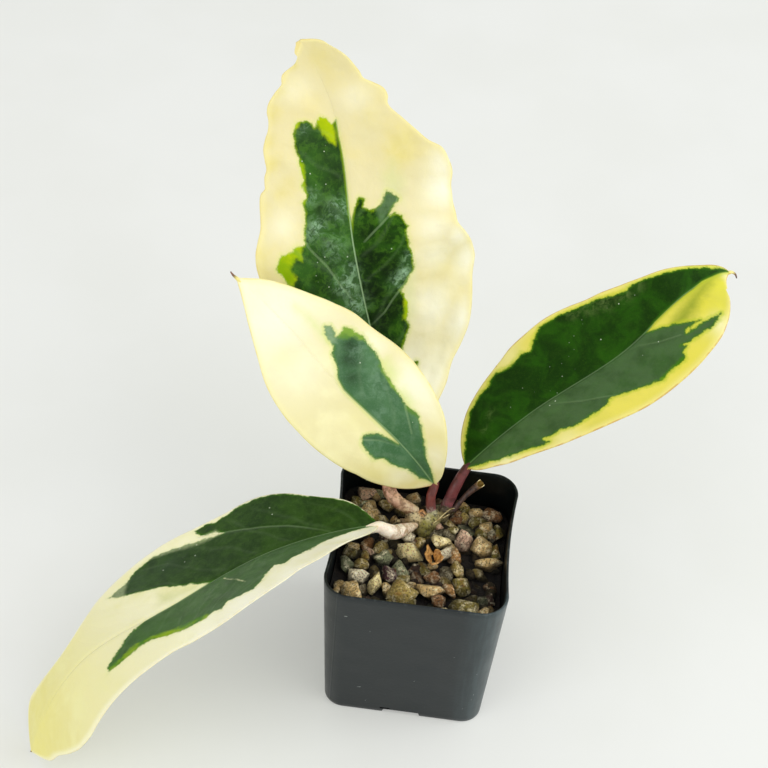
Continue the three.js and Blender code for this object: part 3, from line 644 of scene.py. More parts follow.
def makeLeaf(leaf, name):
    bpy.ops.mesh.primitive_grid_add(x_subdivisions=blade["columns"], y_subdivisions=blade["rows"], size=2)
    made = lastAdded(name)
    flat = pointsOf(made)
    v = flat[:, 0]
    s = (flat[:, 1] + 1) / 2
    upper, up, side = bladePoints(leaf, s, v)
    spots = flatPlace(leaf, s, v)
    edge = halfWidth(leaf, s, v) * (1 - np.abs(v))
    drawn = lineDistance(leaf, spots, leaf["veins"])

    # Relief of the upper face: puckers between the veins, grooves along them, a rounded margin
    sweep = spots[:, 0] - blade["sweep"] * np.abs(side)
    puckers = clouds(np.stack([sweep, side, 0 * s], 1), blade["puckerSize"], 1.0)
    puckers = puckers + blade["finePuckers"] * clouds(upper, blade["finePuckerSize"], 2.0)
    calm = smoothStep(0.5, 5, np.abs(side)) * smoothStep(0, 6, edge)
    upper = upper + up * (leaf["relief"] * puckers * calm)[:, None]
    groove = blade["ribGroove"] * np.exp(-(side / blade["ribGrooveHalf"]) ** 2) * smoothStep(1, 0.6, s)
    groove = groove + blade["veinGroove"] * np.exp(-(drawn / blade["veinGrooveHalf"]) ** 2) * calm
    upper = upper - up * (groove + blade["rounding"] * smoothStep(0.7, 0, edge))[:, None]

    # Lower face, with the keel of the midrib
    thick = lerp(blade["midThick"], blade["edgeThick"], np.abs(v)) - 0.25 * smoothStep(0.8, 0, edge)
    ridge = keel["height"] * np.exp(-(side / keel["half"]) ** 2) * smoothStep(keel["fades"] + 0.2, 0, s)
    lower = upper - up * (np.maximum(thick, blade["leastThick"]) + ridge)[:, None]
    modify(made, "SOLIDIFY", thickness=0.1, offset=-1)
    movePoints(made, np.concatenate([upper, lower]) * mm)

    # What the skin reads: distances in millimetres, and shares of soft marks
    painted = {"alongMm": spots[:, 0], "acrossMm": side, "edgeMm": edge, "veinMm": drawn}
    for kind in ("green", "lime", "pale", "haze"):
        depths = [insideDistance(spots, drawnPlace(leaf, outline)) for outline in leaf[kind]]
        painted[kind + "Mm"] = np.max([np.full(len(s), -farAway)] + depths, axis=0)
    for kind in ("warm", "paintedLight", "paintedSheen", "dark", "dust"):
        painted[kind + "Spot"] = spotShare(leaf, spots, leaf[kind + "Spots"])
    if leaf["scars"]:
        painted["scarMm"] = lineDistance(leaf, spots, leaf["scars"])
    for key, values in painted.items():
        paintPoints(made, key, np.tile(values, 2))
    paintPoints(made, "under", np.repeat([0, 1], len(s)))
    facesOutward(made)
    smooth(made)
    print("leaf made:", name, len(made.data.polygons), "faces")
    return made


leafSkin = {  # grains a metre, and sizes in millimetres
    "border": 330, "borderFine": 1300, "shading": 75, "mottle": 120, "crumple": 430, "speckle": 2200,
    "dust": 420, "waxGrain": 220, "skinGrain": 1900, "puckers": 170,
    "ribHalf": 0.36, "veinHalf": 0.52, "veinSpacing": 11.0, "veinDrift": 12.0, "waxDepth": 0.1,
}


def leafMaterial(leaf, name):
    material, tree, shader = newMaterial(name)
    where = place(tree)
    along = attributeOf(tree, "alongMm")
    across = attributeOf(tree, "acrossMm")
    edge = attributeOf(tree, "edgeMm")
    under = attributeOf(tree, "under")
    sideways = calc(tree, "ABSOLUTE", across)
    share = calc(tree, "DIVIDE", along, leaf["length"])
    rough = less(tree, grain(tree, where, leafSkin["border"], 3.0, 0.6), 0.5)
    fine = less(tree, grain(tree, where, leafSkin["borderFine"], 2.0, 0.6), 0.5)
    ragged = total(tree, times(tree, rough, 2.6), times(tree, fine, 1.1))
    ragged = times(tree, ragged, leaf["ragged"])
    lessRagged = times(tree, ragged, 0.6)
    nearRib = span(tree, sideways, 0.3, 2.5)  # the border along the midrib stays straight
    ragged = times(tree, ragged, nearRib)
    greenDepth = total(tree, attributeOf(tree, "greenMm"), ragged)
    greenMask = span(tree, greenDepth, -0.38, 0.34)
    limeMask = span(tree, total(tree, attributeOf(tree, "limeMm"), ragged), -0.7, 0.8)
    paleMask = span(tree, total(tree, attributeOf(tree, "paleMm"), lessRagged), -0.8, 1.2)
    hazeMask = span(tree, total(tree, attributeOf(tree, "hazeMm"), ragged), -2.6, 3.2)

    # Cream parts: base, middle and tip differ, with soft shading between the veins
    base, middle, tip = (tone(*leaf[key]) for key in ("creamBase", "creamMiddle", "creamTip"))
    cream = mixTone(tree, span(tree, share, 0.0, 0.45), base, middle)
    cream = mixTone(tree, span(tree, share, 0.5, 0.92), cream, tip)
    soft = span(tree, grain(tree, where, leafSkin["shading"], 3.0, 0.55, 0.4), 0.42, 0.72, 0.0, 0.7)
    cream = mixTone(tree, soft, cream, leaf["creamShade"])
    uneven = span(tree, grain(tree, where, 190, 3.0, 0.6), 0.3, 0.7, 0.55, 1.1)
    warm = times(tree, times(tree, attributeOf(tree, "warmSpot"), 0.75), uneven)
    cream = mixTone(tree, warm, cream, leaf["warmTone"])
    # painted light: soft near-white patches lighten the cream where the blade would lie in shade
    paintedLight = times(tree, attributeOf(tree, "paintedLightSpot"), 0.8)
    cream = mixTone(tree, paintedLight, cream, (254, 252, 232))
    cream = mixTone(tree, span(tree, edge, 2.6, 0.0, 0.0, 0.6), cream, leaf["creamEdge"])
    flecks = span(tree, grain(tree, where, 1500, 3.0, 0.7), 0.5, 0.8, 0.0, 0.1)
    cream = mixTone(tree, flecks, cream, (214, 200, 132))
    cream = mixTone(tree, span(tree, along, 2.5, 0.5, 0.0, 0.6), cream, (226, 168, 112))
    hazeShare = times(tree, hazeMask, leaf["hazeShare"])
    cream = mixTone(tree, hazeShare, cream, leaf["hazeTone"])
    fringe = span(tree, greenDepth, -1.5, -0.2, 0.0, leaf["fringeShare"])
    cream = mixTone(tree, fringe, cream, leaf["fringe"])

    # Green parts: mottled, with painted sheen in drawn-out patches and an olive rim
    mottle = grain(tree, where, leafSkin["mottle"], 3.0, 0.62, 0.6)
    green = mixTone(tree, span(tree, mottle, 0.36, 0.68), leaf["greenDeep"], leaf["greenMid"])
    dark = attributeOf(tree, "darkSpot")
    darkness = times(tree, dark, span(tree, mottle, 0.3, 0.6, 0.7, 1.1))
    green = mixTone(tree, darkness, green, leaf["darkTone"])
    crumpled = grain(tree, where, leafSkin["crumple"], 4.0, 0.7, 0.4)
    crumpled = span(tree, crumpled, 0.46, 0.62, 0.0, leaf["crumple"])
    smoother = less(tree, 1.0, times(tree, dark, 0.75))
    crumpled = times(tree, crumpled, smoother)
    green = mixTone(tree, crumpled, green, leaf["flecks"])
    # painted reflection of the sky: a grey-green tint, streaked over the chosen side of the blade, or even
    # over all of it
    if leaf["paintedReflectionSide"]:
        one = times(tree, across, float(leaf["paintedReflectionSide"]))
        paintedReflectionShare = span(tree, one, -0.2, 0.9, 0.0, leaf["paintedReflection"])
        streaked = times(tree, paintedReflectionShare, span(tree, grain(tree, where, 160, 3.0, 0.6), 0.3, 0.6, 0.6, 1.0))
        green = mixTone(tree, streaked, green, leaf["paintedReflectionTone"])
    else:
        green = mixTone(tree, leaf["paintedReflection"], green, leaf["paintedReflectionTone"])
    unshaded = less(tree, 1.0, times(tree, dark, 0.85))
    speckled = span(tree, grain(tree, where, leafSkin["speckle"], 3.0, 0.7), 0.5, 0.75, 0.0, 0.24)
    green = mixTone(tree, times(tree, speckled, unshaded), green, leaf["flecks"])
    # painted sheen: bluish-grey patches stand in for reflections on the puckers
    cloudy = times(tree, attributeOf(tree, "paintedSheenSpot"),
                   span(tree, grain(tree, where, leafSkin["crumple"], 5.0, 0.68, 0.8), 0.42, 0.58, 0.12, 1.0))
    cloudy = times(tree, cloudy, span(tree, grain(tree, where, 1500, 3.0, 0.65), 0.3, 0.66, 0.55, 1.0))
    green = mixTone(tree, times(tree, cloudy, leaf["paintedSheen"]), green, leaf["paintedSheenTone"])
    firstLime, secondLime = (tone(*c) for c in leaf["limeTones"])
    limeTone = mixTone(tree, span(tree, mottle, 0.38, 0.62), firstLime, secondLime)
    rim = span(tree, greenDepth, 1.0, 0.1, 0.0, 0.62)
    green = mixTone(tree, rim, green, secondLime)
    green = mixTone(tree, times(tree, limeMask, 0.92), green, limeTone)
    paleShare = times(tree, paleMask, span(tree, grain(tree, where, 600, 4.0, 0.7), 0.3, 0.6, 0.6, 1.0))
    green = mixTone(tree, times(tree, paleShare, leaf["paleShare"]), green, leaf["paleTone"])
    colour = mixTone(tree, greenMask, cream, green)

    # Midrib, the few veins that show as lines, and faint broad ones between them
    ribLine = times(tree, span(tree, sideways, leafSkin["ribHalf"], 0.08), span(tree, share, 0.99, 0.8))
    drawn = span(tree, attributeOf(tree, "veinMm"), leafSkin["veinHalf"], 0.16)
    drawn = times(tree, drawn, span(tree, sideways, 1.0, 7.0, 0.3, 1.0))
    lines = ((ribLine, leaf["ribShare"], (150, 178, 132)), (drawn, leaf["drawnShare"], (150, 176, 128)))
    for line, strength, lineTone in lines:
        colour = mixTone(tree, times(tree, times(tree, line, greenMask), strength), colour, lineTone)
    swept = less(tree, along, times(tree, sideways, 0.95))
    drift = times(tree, less(tree, grain(tree, where, 60, 1.0), 0.5), leafSkin["veinDrift"])
    swept = calc(tree, "DIVIDE", total(tree, swept, drift), leafSkin["veinSpacing"])
    fromVein = calc(tree, "ABSOLUTE", less(tree, calc(tree, "FRACT", swept), 0.5))
    veinFade = times(tree, span(tree, edge, 1.5, 8.0), span(tree, sideways, 0.5, 3.0))
    vein = times(tree, span(tree, fromVein, 0.14, 0.0), veinFade)
    faint = times(tree, times(tree, vein, greenMask), leaf["faintVeins"])
    colour = mixTone(tree, faint, colour, (168, 190, 150))
    if leaf["scars"]:
        broken = span(tree, grain(tree, where, 700, 2.0), 0.4, 0.6, 0.15, 0.8)
        scarred = times(tree, span(tree, attributeOf(tree, "scarMm"), 0.42, 0.1), broken)
        colour = mixTone(tree, scarred, colour, (196, 200, 150))

    # Margin line, pale specks of dust, paler dull underside
    marginShare = times(tree, span(tree, edge, 0.5, 0.1), span(tree, rough, -0.12, 0.1, 0.15, 0.6))
    colour = mixTone(tree, marginShare, colour, leaf["margin"])
    dustPlace = cellDistance(tree, where, leafSkin["dust"])
    dustPatch = span(tree, attributeOf(tree, "dustSpot"), 0.2, 0.4)
    dust = times(tree, span(tree, dustPlace, 0.11, 0.05), dustPatch)
    dust = times(tree, dust, greenMask)
    colour = mixTone(tree, times(tree, dust, 0.75), colour, (214, 226, 200))
    dull = mixTone(tree, 0.34, colour, (196, 200, 160))
    colour = mixTone(tree, under, colour, dull)

    sheen = span(tree, grain(tree, where, leafSkin["waxGrain"], 3.0, 0.6), 0.3, 0.7, 0.34, 0.5)
    sheen = total(tree, sheen, times(tree, under, 0.2))
    skin = bump(tree, grain(tree, where, leafSkin["skinGrain"], 3.0, 0.6), 0.00006, 0.7)
    pucker = bump(tree, grain(tree, where, leafSkin["puckers"], 2.0, 0.5), 0.0006, leaf["pucker"], skin)
    grooves = total(tree, total(tree, ribLine, drawn), times(tree, vein, 0.3))
    veined = bump(tree, less(tree, 1.0, grooves), 0.00014, 0.7, pucker)
    dress(tree, shader, colour, sheen, veined, leaf["gloss"])
    waxy(shader, leafSkin["waxDepth"], (1.0, 0.9, 0.35))
    return material


leaves = {"bladeLeft": leafLeft, "bladeFront": leafFront, "bladeBack": leafBack, "bladeRight": leafRight}
for name, leaf in leaves.items():
    leaf["length"] = bladeLength(leaf)
    finishPiece(makeLeaf(leaf, name), leafMaterial(leaf, name + "Skin"), leaf["node"])


# Stalks: tubes along smooth paths
def smoothPath(points, steps):
    points = np.asarray(points, float)
    first = 2 * points[0] - points[1]
    final = 2 * points[-1] - points[-2]
    p = np.vstack([first, points, final])
    out = []
    for i in range(1, len(p) - 2):
        knots = [0.0]
        for a, b in ((i - 1, i), (i, i + 1), (i + 1, i + 2)):
            knots.append(knots[-1] + max(np.linalg.norm(p[b] - p[a]), 1e-6) ** 0.5)
        t0, t1, t2, t3 = knots
        for t in np.linspace(t1, t2, steps, endpoint=False):
            a1 = (t1 - t) / (t1 - t0) * p[i - 1] + (t - t0) / (t1 - t0) * p[i]
            a2 = (t2 - t) / (t2 - t1) * p[i] + (t - t1) / (t2 - t1) * p[i + 1]
            a3 = (t3 - t) / (t3 - t2) * p[i + 1] + (t - t2) / (t3 - t2) * p[i + 2]
            b1 = (t2 - t) / (t2 - t0) * a1 + (t - t0) / (t2 - t0) * a2
            b2 = (t3 - t) / (t3 - t1) * a2 + (t - t1) / (t3 - t1) * a3
            out.append((t2 - t) / (t2 - t1) * b1 + (t - t1) / (t2 - t1) * b2)
    out.append(points[-1])
    return np.array(out)


def tube(name, path, radii, resolution=5):
    curve = bpy.data.curves.new(name, "CURVE")
    curve.dimensions = "3D"
    spline = curve.splines.new("POLY")
    spline.points.add(len(path) - 1)
    for spot, centre, radius in zip(spline.points, path, radii):
        spot.co = (*(centre * mm), 1)
        spot.radius = radius
    curve.bevel_depth = mm
    curve.bevel_resolution = resolution
    curve.use_fill_caps = True
    made = bpy.data.objects.new(name, curve)
    bpy.context.scene.collection.objects.link(made)
    activate(made)
    bpy.ops.object.convert(target="MESH")
    made = lastAdded(name)
    mergeDoubles(made, 1e-6)
    return made


def alongShare(thing, path):  # how far along the path each point of the tube is, from 0 to 1
    reach = reachAlong(path)
    return reach[nearestOn(path, pointsOf(thing) / mm)] / reach[-1]


petioles = {
    "petiole_left": {
        "path": [[-2.4, 8.9, 52.7], [-5.6, 5.3, 54.6], [-8.8, 1.4, 57.2], [-11.2, -0.4, 59.9]],
        "radii": [0.75, 2.2, 1.8],
        "leaf": leafLeft,
        "slot": "petiole_pale",
        "tones": [(216, 200, 168), (248, 236, 212), (244, 220, 186)],
        "flush": (212, 158, 134),
        "flushShare": 0.35,
        "pores": (250, 240, 222),
        "poreShare": 0.35,
        "cork": (160, 128, 84),
        "corkReach": 0.4,
        "gloss": 0.5,
        "bumps": 0.14,
    },
    "petiole_back": {
        "path": [[-3.2, 13, 54], [-5.9, 12.9, 55.8], [-8.9, 13.4, 57.2], [-11.4, 15.3, 58.4],
                 [-12.4, 18.8, 60.3],
                 [-12, 22.8, 62.2]],
        "radii": [1.8, 2.1, 1.6],
        "leaf": leafBack,
        "slot": "petiole_pink",
        "tones": [(196, 176, 136), (214, 158, 134), (210, 142, 122)],
        "flush": (150, 84, 72),
        "flushShare": 0.5,
        "pores": (222, 194, 164),
        "poreShare": 0.5,
        "cork": (116, 88, 54),
        "corkReach": 0.55,
        "gloss": 0.4,
        "bumps": 0.16,
    },
    "petiole_front": {
        "path": [[2, 13.9, 51.8], [1.2, 15, 55.5], [0.9, 16.2, 58.5]],
        "radii": [1.6, 1.5, 1.4],
        "leaf": leafFront,
        "slot": "petiole_red",
        "tones": [(132, 84, 80), (114, 54, 46), (146, 86, 54)],
        "flush": (74, 32, 28),
        "flushShare": 0.6,
        "pores": (150, 92, 84),
        "poreShare": 0.12,
        "cork": (190, 178, 166),
        "corkReach": 0.16,
        "gloss": 0.35,
        "bumps": 0.08,
    },
    "petiole_right": {
        "path": [[5.4, 17, 51.6], [6.6, 18.2, 55.5], [8.1, 20, 60.5]],
        "radii": [1.7, 1.75, 1.45],
        "leaf": leafRight,
        "slot": "petiole_red",
        "tones": [(160, 92, 96), (106, 50, 48), (66, 38, 26)],
        "flush": (44, 20, 18),
        "flushShare": 0.6,
        "pores": (120, 70, 70),
        "poreShare": 0.1,
        "cork": (160, 146, 136),
        "corkReach": 0.1,
        "gloss": 0.35,
        "bumps": 0.08,
    },
}


def stalkMaterial(look, name):
    material, tree, shader = newMaterial(name)
    where = place(tree)
    share = attributeOf(tree, "along")
    low, middle, top = (tone(*c) for c in look["tones"])
    colour = mixTone(tree, span(tree, share, 0.0, 0.35), low, middle)
    colour = mixTone(tree, span(tree, share, 0.5, 0.85), colour, top)
    flushed = span(tree, grain(tree, where, 260, 3.0, 0.6), 0.42, 0.62, 0.0, look["flushShare"])
    colour = mixTone(tree, flushed, colour, look["flush"])
    pores = span(tree, cellDistance(tree, where, 1300), 0.24, 0.1, 0.0, look["poreShare"])
    colour = mixTone(tree, pores, colour, look["pores"])
    cork = times(tree, span(tree, grain(tree, where, 520, 4.0, 0.75), 0.44, 0.6, 0.0, 0.8),
                span(tree, share, look["corkReach"] + 0.12, look["corkReach"] - 0.1))
    stipple = span(tree, grain(tree, where, 2600, 2.0, 0.6), 0.45, 0.7, 0.0, 0.22)
    colour = mixTone(tree, stipple, colour, look["flush"])
    colour = mixTone(tree, cork, colour, look["cork"])
    ribs = bump(tree, grain(tree, stretched(tree, where, 1, 1, 0.35), 1500, 3.0, 0.6), 0.0002, 0.6)
    sheen = span(tree, grain(tree, where, 900, 2.0), 0.3, 0.7, 0.34, 0.56)
    dress(tree, shader, colour, sheen, bump(tree, pores, 0.0001, 0.6, ribs), look["gloss"])
    waxy(shader, 0.08)
    return material


def makePetiole(look, name):
    s = np.array([0, 0.035, 0.075, 0.13])  # places under the blade where the stalk runs out
    centre, _, up, _ = bladeFrame(look["leaf"], s)
    under = centre - up * np.array([1.2, 1.75, 1.5, 1.2])[:, None]
    steps = 12
    path = smoothPath(np.vstack([look["path"], under]), steps)
    reach = reachAlong(path)
    atBlade = reach[len(path) - 1 - (len(s) - 1) * steps]
    radii = through([0, 0.5, 1], look["radii"], np.clip(reach / atBlade, 0, 1))
    beyond = np.clip((reach - atBlade) / (reach[-1] - atBlade), 0, 1)
    made = tube(name, path, radii * (1 - 0.72 * beyond ** 0.8), 6)
    paintPoints(made, "along", alongShare(made, path))
    points = pointsOf(made) / mm
    outward = unit(points - path[nearestOn(path, points)] + 1e-9)
    lumps = look["bumps"] * (clouds(points, 1.6, 3.0) + 0.5 * clouds(points, 0.7, 4.0))
    movePoints(made, (points + outward * lumps[:, None]) * mm)
    facesOutward(made)
    smooth(made)
    return made


for nodeName, look in petioles.items():
    name = nodeName.replace("_", "Bark")
    finishPiece(makePetiole(look, name), stalkMaterial(look, name + "Skin"), nodeName)
print("leaf stalks made")


# Crown of the vine: knobs grown together, with crust and old scars, and the buried foot
crown = {
    "knobs": [[1.2, 12.4, 50.6, 3.5], [-1.6, 11.4, 51.6, 2.4], [4.4, 16.2, 50.3, 2.8], [0, 9, 50.7, 2.4],
              [6.6, 17.6, 51, 1.7]],
    "scars": [[-3.8, 11.5, 53.5, 2.4], [-1.4, 12.9, 53.8, 1.3], [0.6, 9.6, 52.4, 1.9], [2.6, 11.8, 53.2, 1.4],
              [5.6, 15.6, 53.2, 1.7], [2.3, 13.6, 53, 1.9], [-1, 10.2, 53.3, 1.3], [3.9, 13.2, 52.4, 1.3],
              [7.4, 17.2, 52.6, 1.4], [-5.2, 9.6, 53, 1.3], [-6.9, 9.5, 53.1, 1], [-8.2, 9.3, 53, 0.8]],
    "spots": [  # place and tone
        [-4.2, 10.6, 54.2, (214, 198, 152)], [-2.6, 10.4, 54.4, (206, 186, 138)],
        [-3.4, 12.4, 54.6, (170, 146, 106)],
        [-1.2, 12.6, 54.9, (196, 138, 80)], [0.3, 9.2, 53.6, (132, 124, 50)], [0.8, 8.2, 52, (106, 100, 34)],
        [2.2, 11.2, 54.2, (158, 150, 84)], [1.2, 11.2, 54.2, (200, 190, 142)],
        [2.4, 13.2, 54.4, (170, 164, 124)],
        [4, 13.2, 53.4, (160, 146, 92)], [5.4, 15.2, 54.6, (72, 58, 36)], [6.4, 16.2, 54, (108, 94, 60)],
        [7.4, 17, 53.8, (86, 66, 48)], [1, 9, 49, (56, 50, 20)], [3, 14, 49, (56, 50, 20)],
        [-5.4, 9.6, 54.2, (142, 116, 72)], [-7, 9.5, 54, (104, 80, 46)], [-8.2, 9.3, 53.8, (166, 148, 104)],
        [1, 8.6, 50.6, (88, 84, 26)],
    ],
    "foot": 24,
    "voxel": 0.3,
    "roughness": 0.26,
}


def makeCrown(look):
    balls = []
    for x, y, z, radius in look["knobs"] + look["scars"]:
        spot = (x * mm, y * mm, z * mm)
        bpy.ops.mesh.primitive_uv_sphere_add(segments=24, ring_count=14, radius=radius * mm, location=spot)
        balls.append(bpy.context.object)
    x, y, z, radius = look["knobs"][0]
    depth = z - look["foot"]
    bpy.ops.mesh.primitive_cone_add(vertices=24, radius1=2.1 * mm, radius2=2.9 * mm, depth=depth * mm,
                                    location=(x * mm, y * mm, (look["foot"] + depth / 2) * mm))
    balls.append(bpy.context.object)
    made = joinAll(balls, "crownBark")
    bakePlace(made)
    modify(made, "REMESH", mode="VOXEL", voxel_size=look["voxel"] * mm)
    modify(made, "SMOOTH", factor=0.7, iterations=3)
    points = pointsOf(made)
    normals = np.zeros(len(points) * 3)
    made.data.vertices.foreach_get("normal", normals)
    lumps = clouds(points / mm, 1.2, 7.0) + 0.6 * clouds(points / mm, 0.5, 8.0)
    movePoints(made, points + normals.reshape(-1, 3) * (look["roughness"] * lumps * mm)[:, None])
    places = np.array([spot[:3] for spot in look["spots"]])
    tones = np.array([tone(*spot[3]) for spot in look["spots"]])
    away = np.linalg.norm(points[:, None] / mm - places[None], axis=2)
    share = 1 / (away + 0.3 + 0.3 * clouds(points / mm, 0.8, 9.0)[:, None]) ** 5
    paintPoints(made, "crownTint", (share / share.sum(1, keepdims=True)) @ tones)
    smooth(made)
    return made


def crownMaterial():
    material, tree, shader = newMaterial("crownSkin")
    where = place(tree)
    patchy = grain(tree, where, 900, 4.0, 0.65)
    base = attributeOf(tree, "crownTint", "Color")
    lighter = mixTone(tree, 0.2, base, (232, 222, 190))
    # painted shade: dark patches stand for the crevices and hollows in the crust
    paintedCreviceShade = mixTone(tree, 0.86, base, (30, 22, 10))
    colour = mixTone(tree, span(tree, patchy, 0.55, 0.68), base, lighter)
    colour = mixTone(tree, span(tree, grain(tree, where, 1100, 4.0, 0.75), 0.5, 0.6), colour, paintedCreviceShade)
    scales = bump(tree, grain(tree, where, 1700, 4.0, 0.65), 0.0005, 0.9)
    dress(tree, shader, colour, span(tree, patchy, 0.3, 0.7, 0.45, 0.8), scales)
    return material


finishPiece(makeCrown(crown), crownMaterial(), "stem")

# Old stub: a dry stalk with a knob at its foot and a hollow, split end
stub = {
    "path": [[8.3, 16.7, 52.6], [10, 18.4, 54.9], [12.3, 20.6, 57.2], [16, 23.1, 60]],
    "radii": [0.95, 0.85, 1.25],
    "hollow": 2.4,
    "wall": 0.3,
    "opensTo": [0.03, -0.68, 0.73],
}


def makeStub(look):
    path = smoothPath(look["path"], 14)
    end = path[-1]
    share = np.linspace(0, 1, len(path))
    radii = through([0, 0.5, 1], look["radii"], share)
    radii = radii * (1 + 0.12 * np.sin(share * 9) * (1 - share))
    outside = tube("stubBark", path, radii, 6)
    inner = path[::-1][reachAlong(path[::-1]) < look["hollow"]][::-1]
    heading = unit(end - path[-2])
    inner = np.vstack([inner, end + heading * 0.8])
    bore = tube("stubBore", inner, np.full(len(inner), radii[-1] - look["wall"]), 5)
    bpy.ops.mesh.primitive_cube_add(size=5 * mm)  # the oblique break that opens the end
    breakBlock = lastAdded("stubBreak")
    lean = unit(unit(np.array(look["opensTo"])) + heading * 0.75)
    spin = Vector(lean).to_track_quat("Z", "Y").to_matrix().to_4x4()
    spot = end - heading * 0.9 + lean * 2.75
    breakBlock.data.transform(Matrix.Translation(Vector(spot * mm)) @ spin)
    for cutter in (bore, breakBlock):
        modify(outside, "BOOLEAN", operation="DIFFERENCE", object=cutter, solver="EXACT")
        bpy.data.objects.remove(cutter)
    points = pointsOf(outside)
    tip = smoothStep(2.2 * mm, 0.2 * mm, np.linalg.norm(points - end * mm, axis=1))
    ragged = 0.3 * mm * clouds(points / mm, 0.9, 5.0) * tip
    movePoints(outside, points + heading * ragged[:, None])
    facesOutward(outside)
    smooth(outside, 40)
    paintPoints(outside, "along", alongShare(outside, path))
    points = points / mm
    paintPoints(outside, "fromAxis", np.linalg.norm(points - path[nearestOn(path, points)], axis=1))
    return outside


def stubMaterial():
    material, tree, shader = newMaterial("stubSkin")
    where = place(tree)
    share = attributeOf(tree, "along")
    streaks = grain(tree, stretched(tree, where, 1, 1, 0.3), 1400, 3.0, 0.6)
    colour = mixTone(tree, span(tree, streaks, 0.35, 0.65), (44, 28, 24), (84, 58, 46))
    colour = mixTone(tree, span(tree, share, 0.78, 0.9, 0.0, 0.6), colour, (140, 104, 50))
    colour = mixTone(tree, span(tree, share, 0.9, 0.97), colour, (236, 218, 166))
    hollow = span(tree, attributeOf(tree, "fromAxis"), 1.08, 0.96)
    hollow = times(tree, hollow, span(tree, share, 0.7, 0.8))
    colour = mixTone(tree, hollow, colour, (126, 96, 18))
    dress(tree, shader, colour, 0.5, bump(tree, streaks, 0.0002, 0.8))
    return material


finishPiece(makeStub(stub), stubMaterial(), "dry_stub")
print("crown and old stub made")

